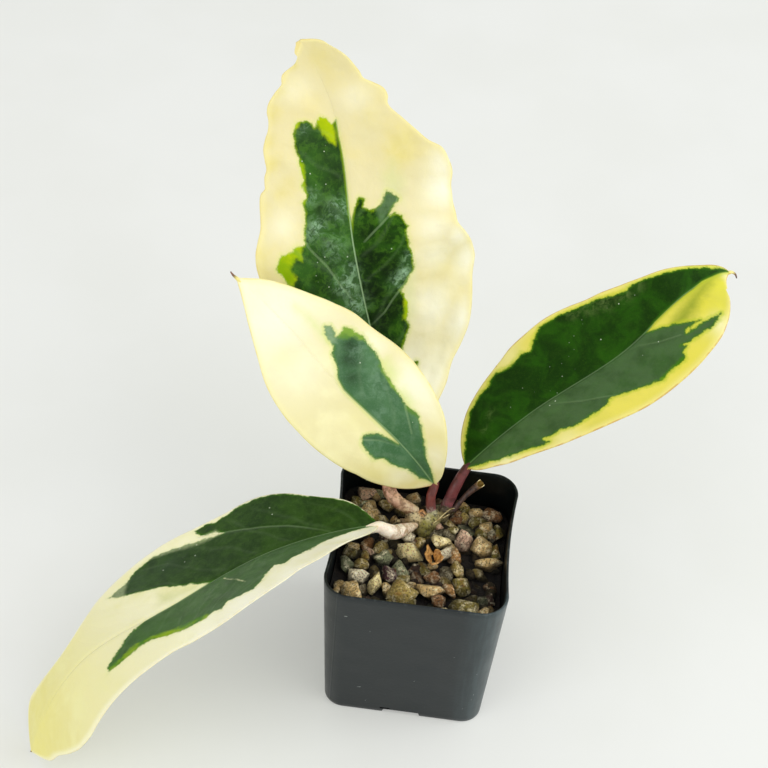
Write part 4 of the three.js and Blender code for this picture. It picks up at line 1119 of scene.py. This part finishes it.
# Gravel. The places of the stones follow the same rule as the solid's.
gravel = {
    "top": 51.7, "fallX": 0.06, "fallY": 0.055, "bedDrop": 3.0, "root": 1.4,
    "pitch": 4.3, "jitter": 0.6, "smallest": 1.5, "spread": 1.2, "reach": 24.6, "sink": 0.6,
    "clearLarge": 0.75, "clearSmall": 0.4, "seed": 4217, "stretch": 1.25,
    # painted light and shade: large and middle stones brightened as if lit, fillers darkened as the shade in
    # the gaps
    "growth": {"large": 1.2, "middle": 1.15}, "paintedLightAndShade": {"large": 1.85, "middle": 1.65, "filler": 0.12},
    "flatCuts": 13, "dents": ((0.08, 0.6), (0.07, 0.25), (0.04, 0.12)),  # depth and size of the dents
    "fillerLayers": (2.2, 4.0), "fillersPerLayer": 120, "darkSink": 0.9,
    "tones": {
        "tan": (178, 150, 98), "khaki": (146, 126, 66), "olive": (112, 100, 44), "greygreen": (108, 112, 82),
        "brown": (116, 80, 46), "darkbrown": (50, 34, 26), "pink": (178, 146, 122), "cream": (212, 194, 136),
        "orange": (158, 116, 66), "white": (204, 192, 162), "purple": (64, 38, 44), "grey": (116, 106, 80),
    },
    "shadowAndDarkBitAreas": [[19, -9, 8, 0.5], [-12, -8, 5.5, 0.5], [9, -8, 3, 0.6], [2, -10, 3.5, 0.6],
                  [-15, -17, 3, 0.6],
                  [21, -19, 5, 0.6], [14, 3, 4, 0.6], [-2, 18, 6, 0.7]],
    "mixOfTones": ["tan", "khaki", "olive", "brown", "greygreen", "grey", "khaki", "brown", "darkbrown",
                   "tan",
                   "olive", "pink"],
    "large": [
        [-3.1, -0.2, 52.6, 4.7, 2.9, -35, "cream"], [-10.9, -3.8, 53, 3, 1.9, 10, "greygreen"],
        [-5.8, -7.5, 53, 2.3, 3.3, 20, "greygreen"], [5.3, 5.2, 53, 3.2, 2, -20, "cream"],
        [7, 0.6, 53, 3.1, 2, 45, "white"], [10.6, 0.6, 52.2, 1.8, 2.8, -10, "orange"],
        [12.9, 8.2, 52.4, 2.9, 3.3, 15, "pink"], [18.6, 6.4, 52, 3.1, 2.9, 30, "tan"],
        [22.2, 6, 50, 1.9, 2.9, 0, "olive"], [20.6, -0.2, 52, 4, 1.8, 4, "tan"],
        [-18.2, -13.1, 55, 3.3, 2.7, 8, "white"], [-18.7, -19.6, 55, 3.6, 3.4, -25, "tan"],
        [-12.1, -14.9, 55, 1.8, 3.5, -12, "cream"], [-8.3, -10.2, 53.4, 2.2, 2.7, 40, "purple"],
        [-4.6, -16.9, 55, 4.3, 3.9, 35, "khaki"], [3.8, -14.8, 54, 4.2, 2, -6, "tan"],
        [6.8, -18.4, 54, 2.2, 2.6, 10, "brown"], [10, -13, 53, 2.6, 1.7, -40, "orange"],
        [13.6, -9.8, 53, 2.9, 3, 55, "olive"], [11.9, -4.1, 52, 1.6, 2.6, 25, "khaki"],
        [15.6, -19.4, 54, 4.4, 3.6, -30, "olive"], [-19.2, 20.8, 52, 3, 2.5, -10, "pink"],
        [-12.6, 8, 51.6, 2.6, 1.7, -50, "khaki"], [20.2, 20.6, 49.6, 3.1, 2.3, 12, "brown"],
    ],
    "middle": [  # stones that only show, between the large ones
        [-0.7, -6, 51.6, 2.4, 1.9, 20, "darkbrown"], [4.7, -8.3, 51.6, 2.6, 1.9, -15, "brown"],
        [22.1, -13, 50.6, 1.8, 2.2, 0, "darkbrown"], [20.7, -19.5, 52, 2.1, 1.7, 30, "tan"],
        [8.4, -21.8, 53.4, 2.6, 1.4, 5, "cream"], [-14.9, 21.8, 51.4, 2.4, 2, 30, "greygreen"],
        [-18.8, 16, 51.4, 2.3, 2, 5, "greygreen"], [-15.9, 14, 51.4, 2, 2, 60, "tan"],
        [-4.3, 22.7, 51, 2.2, 1.9, 0, "tan"], [3.7, 19.5, 50.6, 2, 1.8, 15, "greygreen"],
        [10.4, 22.6, 50.4, 2.3, 1.8, -10, "tan"], [15.2, 20, 50.2, 2.2, 2, 40, "tan"],
        [11.9, 17.3, 50.6, 2, 1.7, 10, "khaki"], [19.1, 15, 50, 2.4, 2, -20, "tan"],
        [23, 13.9, 49.4, 1.5, 2.2, 0, "olive"], [8.9, 10.8, 51.2, 1.9, 1.6, 20, "olive"],
        [-16.1, -1.9, 52.4, 2.3, 1.6, -15, "pink"], [-21, -1.7, 51.8, 2.2, 2, 30, "greygreen"],
        [-23.3, -18.8, 52.8, 1.3, 1.7, 0, "tan"], [-4.2, 5.4, 52.4, 2.1, 1.5, 25, "white"],
        [4.6, 10.4, 52.6, 1.3, 1.1, 0, "pink"],
    ],
}


def mixHeight(x, y):
    return gravel["top"] - gravel["fallX"] * x - gravel["fallY"] * y


def smallStones(draw):
    found = []
    cells = int(gravel["reach"] // gravel["pitch"])
    for row in range(-cells, cells + 1):
        for column in range(-cells, cells + 1):
            x = (column + gravel["jitter"] * (draw() - 0.5)) * gravel["pitch"]
            y = (row + gravel["jitter"] * (draw() - 0.5)) * gravel["pitch"]
            size = gravel["smallest"] + gravel["spread"] * draw()
            turn = 180 * draw()
            lift = draw() - 0.5
            covered = False
            for stone in gravel["large"]:
                clear = gravel["clearLarge"] * max(stone[3], stone[4]) + gravel["clearSmall"] * size
                covered = covered or math.hypot(stone[0] - x, stone[1] - y) < clear
            outside = max(abs(x), abs(y)) > gravel["reach"] - size
            if not covered and not outside:
                top = mixHeight(x, y) - gravel["sink"] + lift
                found.append([x, y, top, size * gravel["stretch"], size, turn])
    return found


def baseStone(name, subdivisions, draw):  # a ball broken by random planes, then pitted
    bpy.ops.mesh.primitive_ico_sphere_add(subdivisions=subdivisions, radius=1)
    made = lastAdded(name)
    points = pointsOf(made)
    for _ in range(gravel["flatCuts"]):
        normal = np.array([draw() - 0.5, draw() - 0.5, draw() - 0.5])
        normal = normal / np.linalg.norm(normal)
        depth = 0.5 + 0.3 * draw()
        over = points @ normal - depth
        points = points - np.outer(np.maximum(over, 0) * 0.93, normal)
    seed = 10 * draw()
    dents = sum(depth * clouds(points, size, seed) for depth, size in gravel["dents"])
    points = points * (1 + dents)[:, None]
    movePoints(made, points / np.abs(points).max(0))
    return made


def placeStone(base, name, stone, colour, seed, heightShare, paintedShadeAndTone=1.0):
    made = ownCopy(base)
    made.name = name
    x, y, top, length, width, turn = stone
    height = (top - mixHeight(x, y) + gravel["bedDrop"] + gravel["root"]) / 2
    height = min(height, heightShare * (length + width) / 2)
    lift = pointsOf(made)[:, 2]
    tilt = Matrix.Rotation((seed - 0.5) * 0.5, 3, "X") @ Matrix.Rotation((seed * 7 % 1 - 0.5) * 0.5, 3, "Y")
    points = pointsOf(made) @ np.array(tilt).T
    points = points / np.abs(points).max(0) * np.array([length, width, height])
    turned = np.array(Matrix.Rotation(math.radians(turn), 3, "Z"))
    movePoints(made, (points @ turned.T + np.array([x, y, top - height])) * mm)
    count = len(points)
    paintPoints(made, "stoneTint", np.tile(tone(*colour), (count, 1)))
    paintPoints(made, "stoneSeed", np.full(count, seed))
    # painted shade: each stone darker toward its foot and lighter on top, scaled by its painted light and
    # shade and its random tone
    paintPoints(made, "stonePaintedShade", paintedShadeAndTone * (0.2 + 0.98 * smoothStep(-0.25, 0.8, lift)))
    return made


def toneOf(seed):
    names = gravel["mixOfTones"]
    return gravel["tones"][names[int(seed * 997) % len(names)]]


def makeStones():
    draw = SeededDraw(gravel["seed"])
    small = smallStones(draw)
    coarse = [baseStone("pebbleBase", 3, draw) for _ in range(6)]
    rough = [baseStone("fillerBase", 2, draw) for _ in range(4)]
    fine = [baseStone("stoneBase", 4, draw) for _ in range(6)]
    placed = []
    for kind, growth in gravel["growth"].items():
        for *where, length, width, turn, colour in gravel[kind]:
            grown = where + [length * growth, width * growth, turn]
            base = fine[len(placed) % 6]
            placed.append(placeStone(base, "stone", grown, gravel["tones"][colour], draw(), 0.9,
                                     gravel["paintedLightAndShade"][kind]))
    for stone in small:
        seed = draw()
        paintedShadeAndTone = 0.75 + 0.95 * draw()
        # painted shadow of the pot's right wall, and real dark bits: small stones in these areas are darkened
        # and sink lower
        for x, y, reach, amount in gravel["shadowAndDarkBitAreas"]:
            if math.hypot(stone[0] - x, stone[1] - y) < reach:
                paintedShadeAndTone = paintedShadeAndTone * amount
                stone[2] -= gravel["darkSink"]
        placed.append(placeStone(coarse[len(placed) % 6], "pebble", stone, toneOf(seed), seed, 1.0, paintedShadeAndTone))
    # painted shade: the filler stones are dark as the shade deep in the gaps
    for layer in gravel["fillerLayers"]:  # darker stones under the ones that show
        for _ in range(gravel["fillersPerLayer"]):
            x = (draw() - 0.5) * 2 * (gravel["reach"] - 1.5)
            y = (draw() - 0.5) * 2 * (gravel["reach"] - 1.5)
            size = 1.3 + 1.0 * draw()
            stone = [x, y, mixHeight(x, y) - layer + draw(), size * 1.2, size, 180 * draw()]
            seed = draw()
            placed.append(placeStone(rough[len(placed) % 4], "filler", stone, toneOf(seed), seed, 1.0,
                                     gravel["paintedLightAndShade"]["filler"]))
    for base in coarse + fine + rough:
        bpy.data.objects.remove(base)
    made = joinAll(placed, "mixStones")
    smooth(made, 30)
    print("stones made:", len(placed), "with", len(made.data.polygons), "faces")
    return made


def stoneMaterial():
    material, tree, shader = newMaterial("gritStone")
    where = place(tree)
    seed = attributeOf(tree, "stoneSeed")
    shifted = node(tree, "VectorMath", {0: where}, operation="ADD")
    plug(tree, shifted.inputs[1], node(tree, "CombineXYZ", {0: seed, 1: seed, 2: seed}).outputs[0])
    where = shifted.outputs[0]
    base = attributeOf(tree, "stoneTint", "Color")
    # painted highlight: paler blotches toward a light cream
    paintedLight = mixTone(tree, 0.6, base, (244, 232, 196))
    dark = mixTone(tree, 0.66, base, (30, 22, 14))
    blotch = grain(tree, where, 480, 4.0, 0.65)
    colour = mixTone(tree, span(tree, blotch, 0.46, 0.66, 0.0, 0.85), base, paintedLight)
    colour = mixTone(tree, span(tree, grain(tree, where, 1500, 4.0, 0.8), 0.48, 0.6, 0.0, 0.9), colour, dark)
    rust = span(tree, grain(tree, where, 300, 2.0, 0.6), 0.58, 0.7, 0.0, 0.32)
    colour = mixTone(tree, rust, colour, (150, 92, 34))
    # the pits are sunk by the bump below and painted dark as the shade in them
    pits = span(tree, cellDistance(tree, where, 1200), 0.3, 0.14)
    shadedPits = times(tree, pits, span(tree, grain(tree, where, 500, 2.0), 0.36, 0.5))
    colour = mixTone(tree, times(tree, shadedPits, 0.8), colour, (30, 24, 16))
    glints = span(tree, cellDistance(tree, where, 2300), 0.14, 0.07)
    colour = mixTone(tree, times(tree, glints, 0.7), colour, (240, 232, 206))
    shaded = node(tree, "VectorMath", {0: colour}, operation="SCALE")
    plug(tree, shaded.inputs["Scale"], attributeOf(tree, "stonePaintedShade"))
    gritty = bump(tree, grain(tree, where, 1300, 5.0, 0.72), 0.0015, 1.0)
    relief = bump(tree, less(tree, 1.0, shadedPits), 0.0006, 1.0, gritty)
    dress(tree, shader, shaded.outputs[0], span(tree, blotch, 0.3, 0.7, 0.55, 0.9), relief, 0.3)
    return material


# Sizes of the pot, which the bed of the mix follows too
pot = {
    "height": 60.0, "topWidth": 55.0, "footWidth": 49.3, "topCorner": 7.8, "footCorner": 6.2,
    "wall": 0.8, "floor": 0.9, "sideBow": 1.1, "footRound": 0.3,
    "cornerSteps": 12, "sideSteps": 16, "levels": 26,
}


def potHalf(z):
    return lerp(pot["footWidth"], pot["topWidth"], z / pot["height"]) / 2


def potOutline(z, inset):
    t = z / pot["height"]
    half = potHalf(z) - inset
    corner = max(0.4, lerp(pot["footCorner"], pot["topCorner"], t) - inset)
    straight = half - corner
    ring = []
    for quarter in range(4):
        turn = quarter * math.pi / 2
        local = [(half, lerp(-straight, straight, i / pot["sideSteps"])) for i in range(pot["sideSteps"])]
        for i in range(pot["cornerSteps"]):
            angle = i / pot["cornerSteps"] * math.pi / 2
            local.append((straight + corner * math.cos(angle), straight + corner * math.sin(angle)))
        for x, y in local:
            px = x * math.cos(turn) - y * math.sin(turn)
            py = x * math.sin(turn) + y * math.cos(turn)
            reach = max(0.0, 1 - (py / straight) ** 2)
            if abs(px) > straight:
                px -= math.copysign(pot["sideBow"] * reach * t * t, px)
            ring.append((px, py, z))
    return np.array(ring)


def squareShell(name, profile):  # wraps a grid round the pot's outline, given heights and insets
    around = 4 * (pot["sideSteps"] + pot["cornerSteps"])
    bpy.ops.mesh.primitive_grid_add(x_subdivisions=around, y_subdivisions=len(profile) - 1, size=2)
    made = lastAdded(name)
    flat = pointsOf(made)
    column = np.round((flat[:, 0] + 1) / 2 * around).astype(int) % around
    row = np.round((flat[:, 1] + 1) / 2 * (len(profile) - 1)).astype(int)
    rings = []
    for z, inset in profile:
        rings.append(potOutline(z, inset) if inset < 20 else np.tile([0, 0, z], (around, 1)))
    rings = np.array(rings)
    movePoints(made, rings[row, column] * mm)
    mergeDoubles(made, 1e-6)
    facesOutward(made)
    return made


def makeBed():  # the bed below the stones, dark with fine grit
    top = gravel["top"] - gravel["bedDrop"]
    levels = [1.2, 1.2, 1.6] + list(np.linspace(3, top, 12)) + [top]
    insets = [30, 1.6, 1.1] + [1.1] * 12 + [5]
    profile = list(zip(levels, insets)) + [(top, 9), (top, 13), (top, 17), (top, 30)]
    made = squareShell("mixBed", profile)
    points = pointsOf(made)
    share = smoothStep(10 * mm, top * mm, points[:, 2])
    slope = -(gravel["fallX"] * points[:, 0] + gravel["fallY"] * points[:, 1])
    points[:, 2] += share * (slope - 0.7 * mm)
    movePoints(made, points)
    smooth(made, 40)
    return made


def bedMaterial():
    material, tree, shader = newMaterial("gritBed")
    where = place(tree)
    clumps = grain(tree, where, 500, 4.0, 0.7)
    # painted shade: the bed is near black, as the shade deep in the gaps between the stones
    colour = mixTone(tree, span(tree, clumps, 0.36, 0.68), (8, 6, 4), (30, 22, 15))
    dress(tree, shader, colour, 0.95, bump(tree, clumps, 0.0012, 0.9))
    return material


finishPiece(makeBed(), bedMaterial(), "potting_mix")
finishPiece(makeStones(), stoneMaterial())

# Scraps that lie on the mix: a curl of bark, thin pale roots, and the dry tips of three leaves
scraps = {
    "curl": {
        "path": [[2.8, -0.5, 53.6], [2.4, -2.8, 54.2], [2.7, -5.4, 54.5], [3.9, -7, 54.6], [5.2, -6.2, 54.5],
                 [5.8, -4.4, 54.3], [5.1, -3, 54.2], [4.1, -3.4, 54.2]],
        "tall": 3.6, "lean": 0.6, "thick": 0.45,
    },
    "roots": [
        [[2.4, 9.2, 54.1], [3.7, 10.1, 54.7], [5.6, 12.7, 55.1], [7.5, 15.3, 54.8], [8.6, 16.4, 54]],
        [[4.4, 12, 53.6], [5.8, 12.4, 54], [7.2, 14, 53.8]],
    ],
    "rootRadius": 0.2,
    "frontTip": [[-62.8, 39.8, 116.4], [-64.3, 40.1, 117.8], [-65.3, 40.4, 118.6], [-66, 40.8, 119.3]],
    "rightTip": [[83.6, 84.6, 103.1], [85.2, 85.6, 102.5], [86.6, 86, 101.3], [87.2, 85.6, 100.2]],
    "leftTip": [[-109.5, -56, 1.5], [-110.1, -56.4, 0.9]],
    "tipRadius": 0.62,
}


def makeCurl(look):  # a strip of bark that stands on its edge and curls round
    path = smoothPath(look["path"], 8)
    bpy.ops.mesh.primitive_grid_add(x_subdivisions=len(path) - 1, y_subdivisions=8, size=2)
    made = lastAdded("barkCurl")
    flat = pointsOf(made)
    column = np.round((flat[:, 0] + 1) / 2 * (len(path) - 1)).astype(int)
    heading = unit(np.gradient(path, axis=0))
    outward = np.stack([heading[:, 1], -heading[:, 0], 0 * heading[:, 0]], 1)
    rise = flat[:, 1:2] * look["tall"] / 2 * (0.8 + 0.2 * np.cos(column * 0.5))[:, None]
    points = path[column] + rise * (np.array([0, 0, 1]) + look["lean"] * outward[column])
    points = points + 0.16 * np.stack([clouds(points, 1.2, k) for k in (1.0, 2.0, 3.0)], 1)
    movePoints(made, points * mm)
    modify(made, "SOLIDIFY", thickness=look["thick"] * mm, offset=0)
    facesOutward(made)
    smooth(made, 50)
    return made


def scrapMaterial(name, dark, paintedLight, dullness):
    material, tree, shader = newMaterial(name)
    where = place(tree)
    streaks = grain(tree, where, 900, 4.0, 0.65)
    colour = mixTone(tree, span(tree, streaks, 0.36, 0.64), dark, paintedLight)
    dress(tree, shader, colour, span(tree, streaks, 0.3, 0.7, dullness, dullness + 0.2),
          bump(tree, streaks, 0.0004, 0.8))
    return material


def tipMaterial():  # the colour of the blade's margin, brown at the very point
    material, tree, shader = newMaterial("leafTipSkin")
    share = attributeOf(tree, "along")
    streaks = grain(tree, place(tree), 1400, 3.0, 0.6)
    fresh = mixTone(tree, streaks, (226, 208, 110), (240, 228, 150))
    dry = mixTone(tree, span(tree, streaks, 0.4, 0.6), (70, 44, 30), (124, 80, 54))
    colour = mixTone(tree, span(tree, share, 0.35, 0.75), fresh, dry)
    dress(tree, shader, colour, 0.5, bump(tree, streaks, 0.0001, 0.6))
    return material


def makeThreads(name, paths, radius, tip):
    made = []
    for points in paths:
        path = smoothPath(points, 8)
        share = np.linspace(0, 1, len(path))
        radii = radius * (1 - tip * share) * smoothStep(-0.25, 0.3, share)
        thread = tube(name, path, radii, 3)
        paintPoints(thread, "along", alongShare(thread, path))
        made.append(thread)
    whole = joinAll(made, name)
    facesOutward(whole)
    smooth(whole)
    return whole


finishPiece(makeCurl(scraps["curl"]), scrapMaterial("barkCurlSkin", (132, 82, 26), (214, 160, 84), 0.4))
finishPiece(makeThreads("paleRoots", scraps["roots"], scraps["rootRadius"], 0.4),
            scrapMaterial("paleRootSkin", (150, 124, 70), (220, 204, 150), 0.6))
finishPiece(makeThreads("leafTips", [scraps["frontTip"], scraps["rightTip"], scraps["leftTip"]],
                        scraps["tipRadius"], 0.72), tipMaterial())

# Pot: thin moulded shell with a rounded lip, hooded notches at the foot and drain slots
potDetail = {
    "notchWidth": 12.8, "chamfer": 0.9, "notchHeight": 1.9, "notchDepth": 9.5, "hood": 0.8,
    "slotWidth": 6.0, "slotDepth": 2.6, "slotFromEdge": 6.0,
    "slit": [-6.6, 3.0, 2.0, 0.7, 3.0],  # left end, width, bottom, height, depth
    "seamX": -22.5, "paintedSheenX": (13, 25), "paintedSheenY": (-16.5, -19.5), "paleLipBandZ": (59.2, 59.8),
    "scratches": [[-19.6, 50.2, 0.7, 8], [-13.7, 12.8, 0.8, 10], [-11.3, 5.6, 0.35, 60], [-24, 45, 0.3, 70],
                  [21.6, 27.7, 0.4, 80], [21.6, 15.8, 0.5, 85], [21.2, 13, 0.35, 90], [19, 8, 0.35, 60],
                  [-12, 44, 0.3, 80], [14, 36, 0.3, 20], [3, 20, 0.3, 50]],
}


def block(name, low, high):
    centre = [(a + b) / 2 * mm for a, b in zip(low, high)]
    size = [(b - a) * mm for a, b in zip(low, high)]
    bpy.ops.mesh.primitive_cube_add(size=1, location=centre)
    made = lastAdded(name)
    made.scale = size
    bakePlace(made)
    return made


def chamfered(name, low, high, amount):  # a block whose top narrows at its two ends
    made = block(name, low, high)
    points = pointsOf(made)
    top = points[:, 2] > (low[2] + high[2]) / 2 * mm
    middle = (low[0] + high[0]) / 2 * mm
    points[top, 0] -= np.sign(points[top, 0] - middle) * amount * mm
    movePoints(made, points)
    return made


def fourSides(one, name):
    copies = [one]
    for quarter in (1, 2, 3):
        copy = ownCopy(one)
        copy.data.transform(Matrix.Rotation(quarter * math.pi / 2, 4, "Z"))
        copies.append(copy)
    return joinAll(copies, name)


def makePot():
    wall = pot["wall"]
    top = pot["height"]
    round0 = pot["footRound"]
    outer = [(0, 30), (0, 12), (0, round0 + 0.2), (0.12, 0.35), (0.45, 0.1), (round0 + 0.3, 0)]
    outer += [(z, 0) for z in np.linspace(2, top - 0.35, pot["levels"])]
    lip = [(top - 0.1, 0.08), (top, 0.25), (top, wall - 0.25), (top - 0.1, wall - 0.08)]
    inner = [(z, wall) for z in np.linspace(top - 0.4, 3, pot["levels"])]
    low = pot["floor"]
    inner += [(1.6, wall + 0.1), (low + 0.1, wall + 0.6), (low, wall + 1.4), (low, 12), (low, 30)]
    shell = squareShell("potShell", outer + lip + inner)
    cut = potDetail
    half = pot["footWidth"] / 2
    width = cut["notchWidth"] / 2
    hoodWall = cut["hood"]
    hood = chamfered("hood", [-width - hoodWall, -half + 0.35, 0.2],
                     [width + hoodWall, -half + cut["notchDepth"] + hoodWall, cut["notchHeight"] + hoodWall],
                     cut["chamfer"])
    notch = chamfered("notch", [-width, -half - 3, -1],
                      [width, -half + cut["notchDepth"], cut["notchHeight"]], cut["chamfer"])
    across = cut["slotWidth"] / 2
    front = -half + cut["slotFromEdge"]
    slot = block("slot", [-across, front, 0.5], [across, front + cut["slotDepth"], cut["notchHeight"] + 2])
    left, wide, bottom, tall, deep = cut["slit"]
    slit = block("slit", [left, -half - 1, bottom], [left + wide, -half - 1 + deep, bottom + tall])
    steps = [(fourSides(hood, "hoods"), "UNION"), (fourSides(notch, "notches"), "DIFFERENCE"),
             (fourSides(slot, "slots"), "DIFFERENCE"), (slit, "DIFFERENCE")]
    for tool, operation in steps:
        modify(shell, "BOOLEAN", operation=operation, object=tool, solver="EXACT")
        bpy.data.objects.remove(tool)
    mergeDoubles(shell, 2e-6)
    smooth(shell, 35)
    return shell


def potMaterial():
    material, tree, shader = newMaterial("potPlastic")
    where = place(tree)
    parts = node(tree, "SeparateXYZ", {0: where})
    x, y, z = parts.outputs[0], parts.outputs[1], parts.outputs[2]
    cloudy = grain(tree, where, 60, 3.0, 0.6)
    colour = mixTone(tree, span(tree, cloudy, 0.35, 0.65), (3, 6, 6), (6, 11, 12))
    fineDust = span(tree, grain(tree, where, 1400, 3.0, 0.7), 0.6, 0.8, 0.0, 0.16)
    colour = mixTone(tree, fineDust, colour, (96, 110, 114))
    mottled = span(tree, grain(tree, where, 420, 3.0, 0.65), 0.4, 0.64, 0.0, 0.3)
    colour = mixTone(tree, mottled, colour, (8, 11, 13))
    streaky = grain(tree, stretched(tree, where, 1.0, 1.0, 0.1), 700, 3.0, 0.6)
    paintedSheenX, paintedSheenY, paleLipBandZ = ([n * mm for n in potDetail[k]] for k in ("paintedSheenX", "paintedSheenY", "paleLipBandZ"))
    # painted sheen: the right front corner lighter in streaks, as where the plastic catches the light
    paintedCornerSheen = times(tree, span(tree, x, *paintedSheenX), span(tree, streaky, 0.3, 0.7, 0.5, 1.0))
    paintedCornerSheen = times(tree, paintedCornerSheen, span(tree, y, *paintedSheenY, 0.0, 0.75))
    colour = mixTone(tree, paintedCornerSheen, colour, (62, 76, 78))  # painted sheen on the right front corner
    # a patchy paler band along the top of the lip
    lipGrain = span(tree, grain(tree, where, 380, 4.0, 0.75), 0.5, 0.68)
    paleLipBand = times(tree, span(tree, z, *paleLipBandZ), lipGrain)
    colour = mixTone(tree, times(tree, paleLipBand, 0.16), colour, (134, 140, 138))
    flattened = stretched(tree, where, 1, 0, 1)
    for px, pz, reach, turn in potDetail["scratches"]:
        centre = node(tree, "VectorMath", {0: flattened, 1: (px * mm, 0, pz * mm)}, operation="SUBTRACT")
        angle = {"Vector": centre.outputs[0], "Angle": math.radians(turn)}
        turned = node(tree, "VectorRotate", angle, rotation_type="Y_AXIS")
        thin = stretched(tree, turned.outputs[0], 1 / reach, 0, 4.5 / reach)
        away = node(tree, "VectorMath", {0: thin}, operation="LENGTH").outputs["Value"]
        worn = span(tree, grain(tree, where, 2600, 2.0), 0.4, 0.6, 0.3, 0.8)
        mark = times(tree, span(tree, away, mm, 0.5 * mm), worn)
        colour = mixTone(tree, mark, colour, (176, 180, 176))
    scratchPlace = stretched(tree, where, 1.0, 1.0, 0.12)
    scratch = span(tree, grain(tree, scratchPlace, 2400, 2.0, 0.6), 0.72, 0.8, 0.0, 0.25)
    colour = mixTone(tree, scratch, colour, (96, 102, 104))
    dullness = total(tree, span(tree, cloudy, 0.3, 0.7, 0.3, 0.4), times(tree, fineDust, 0.8))
    fromSeam = calc(tree, "ABSOLUTE", less(tree, x, potDetail["seamX"] * mm))
    seamLine = span(tree, fromSeam, 0.00035, 0.0001)
    satin = bump(tree, grain(tree, where, 900, 3.0, 0.55), 0.00006, 0.5)
    wavy = bump(tree, grain(tree, where, 85, 1.0), 0.0007, 0.25, satin)
    dress(tree, shader, colour, dullness, bump(tree, seamLine, 0.0001, 0.6, wavy))
    shader.inputs["Specular Tint"].default_value = (0.86, 0.96, 1.0, 1.0)
    return material


finishPiece(makePot(), potMaterial(), "pot")
print("pot made")

# Floor, light and camera
floor = {"size": 12.0, "tone": (193, 194, 189), "otherTone": (196, 197, 193), "glow": 0.262}
bpy.ops.mesh.primitive_plane_add(size=floor["size"], location=(0, 0, 0))
ground = lastAdded("floorPlane")
groundMaterial, groundTree, groundShader = newMaterial("paleFloor")
groundWhere = place(groundTree)
groundGrain = grain(groundTree, groundWhere, 14, 3.0)
groundTone = mixTone(groundTree, span(groundTree, groundGrain, 0.35, 0.65), floor["tone"], floor["otherTone"])
dress(groundTree, groundShader, groundTone, 0.8, None, 0.2)
groundShader.inputs["Emission Color"].default_value = (1.0, 1.0, 0.97, 1.0)
groundShader.inputs["Emission Strength"].default_value = floor["glow"]  # keeps shadows pale
ground.data.materials.append(groundMaterial)

studio = {
    "sky": (0.97, 0.985, 1.0), "skyStrength": 0.78, "aim": (0, 0.02, 0.06),
    "lights": {  # place, size, power, colour
        "windowLight": [(0.6, -0.1, 1.0), 0.9, 3.6, (1.0, 0.98, 0.95)],
        "fillLight": [(-0.8, -0.85, 0.4), 1.0, 5.7, (1.0, 1.0, 0.97)],
        "sideLight": [(1.0, 0.12, 0.3), 0.5, 4.0, (0.9, 0.97, 1.0)],
    },
}
world = bpy.data.worlds.new("softSky")
bpy.context.scene.world = world
world.use_nodes = True
background = world.node_tree.nodes["Background"]
background.inputs["Color"].default_value = (*studio["sky"], 1)
background.inputs["Strength"].default_value = studio["skyStrength"]
for name, (where, size, power, colour) in studio["lights"].items():
    bpy.ops.object.light_add(type="AREA", location=where)
    lamp = bpy.context.object
    lamp.name = name
    lamp.data.shape = "DISK"
    lamp.data.size = size
    lamp.data.energy = power
    lamp.data.color = colour
    lamp.rotation_euler = (Vector(studio["aim"]) - Vector(where)).to_track_quat("-Z", "Y").to_euler()

view = {
    "place": (0.00079, -0.40593, 0.55929),
    "right": (0.9915, 0.1119, 0.0658),
    "up": (-0.1267, 0.7235, 0.6786),
    "forward": (-0.0283, 0.6812, -0.7316),
    "lens": 100.0, "sensor": 36.0, "clip": (0.01, 50.0),
}
bpy.ops.object.camera_add(location=view["place"])
camera = bpy.context.object
axes = Matrix((view["right"], view["up"], [-c for c in view["forward"]])).transposed()
camera.rotation_euler = axes.to_euler()
camera.data.lens = view["lens"]
camera.data.sensor_width = view["sensor"]
camera.data.clip_start, camera.data.clip_end = view["clip"]
bpy.context.scene.camera = camera
bpy.context.scene.view_settings.view_transform = "Standard"
print("stage set")
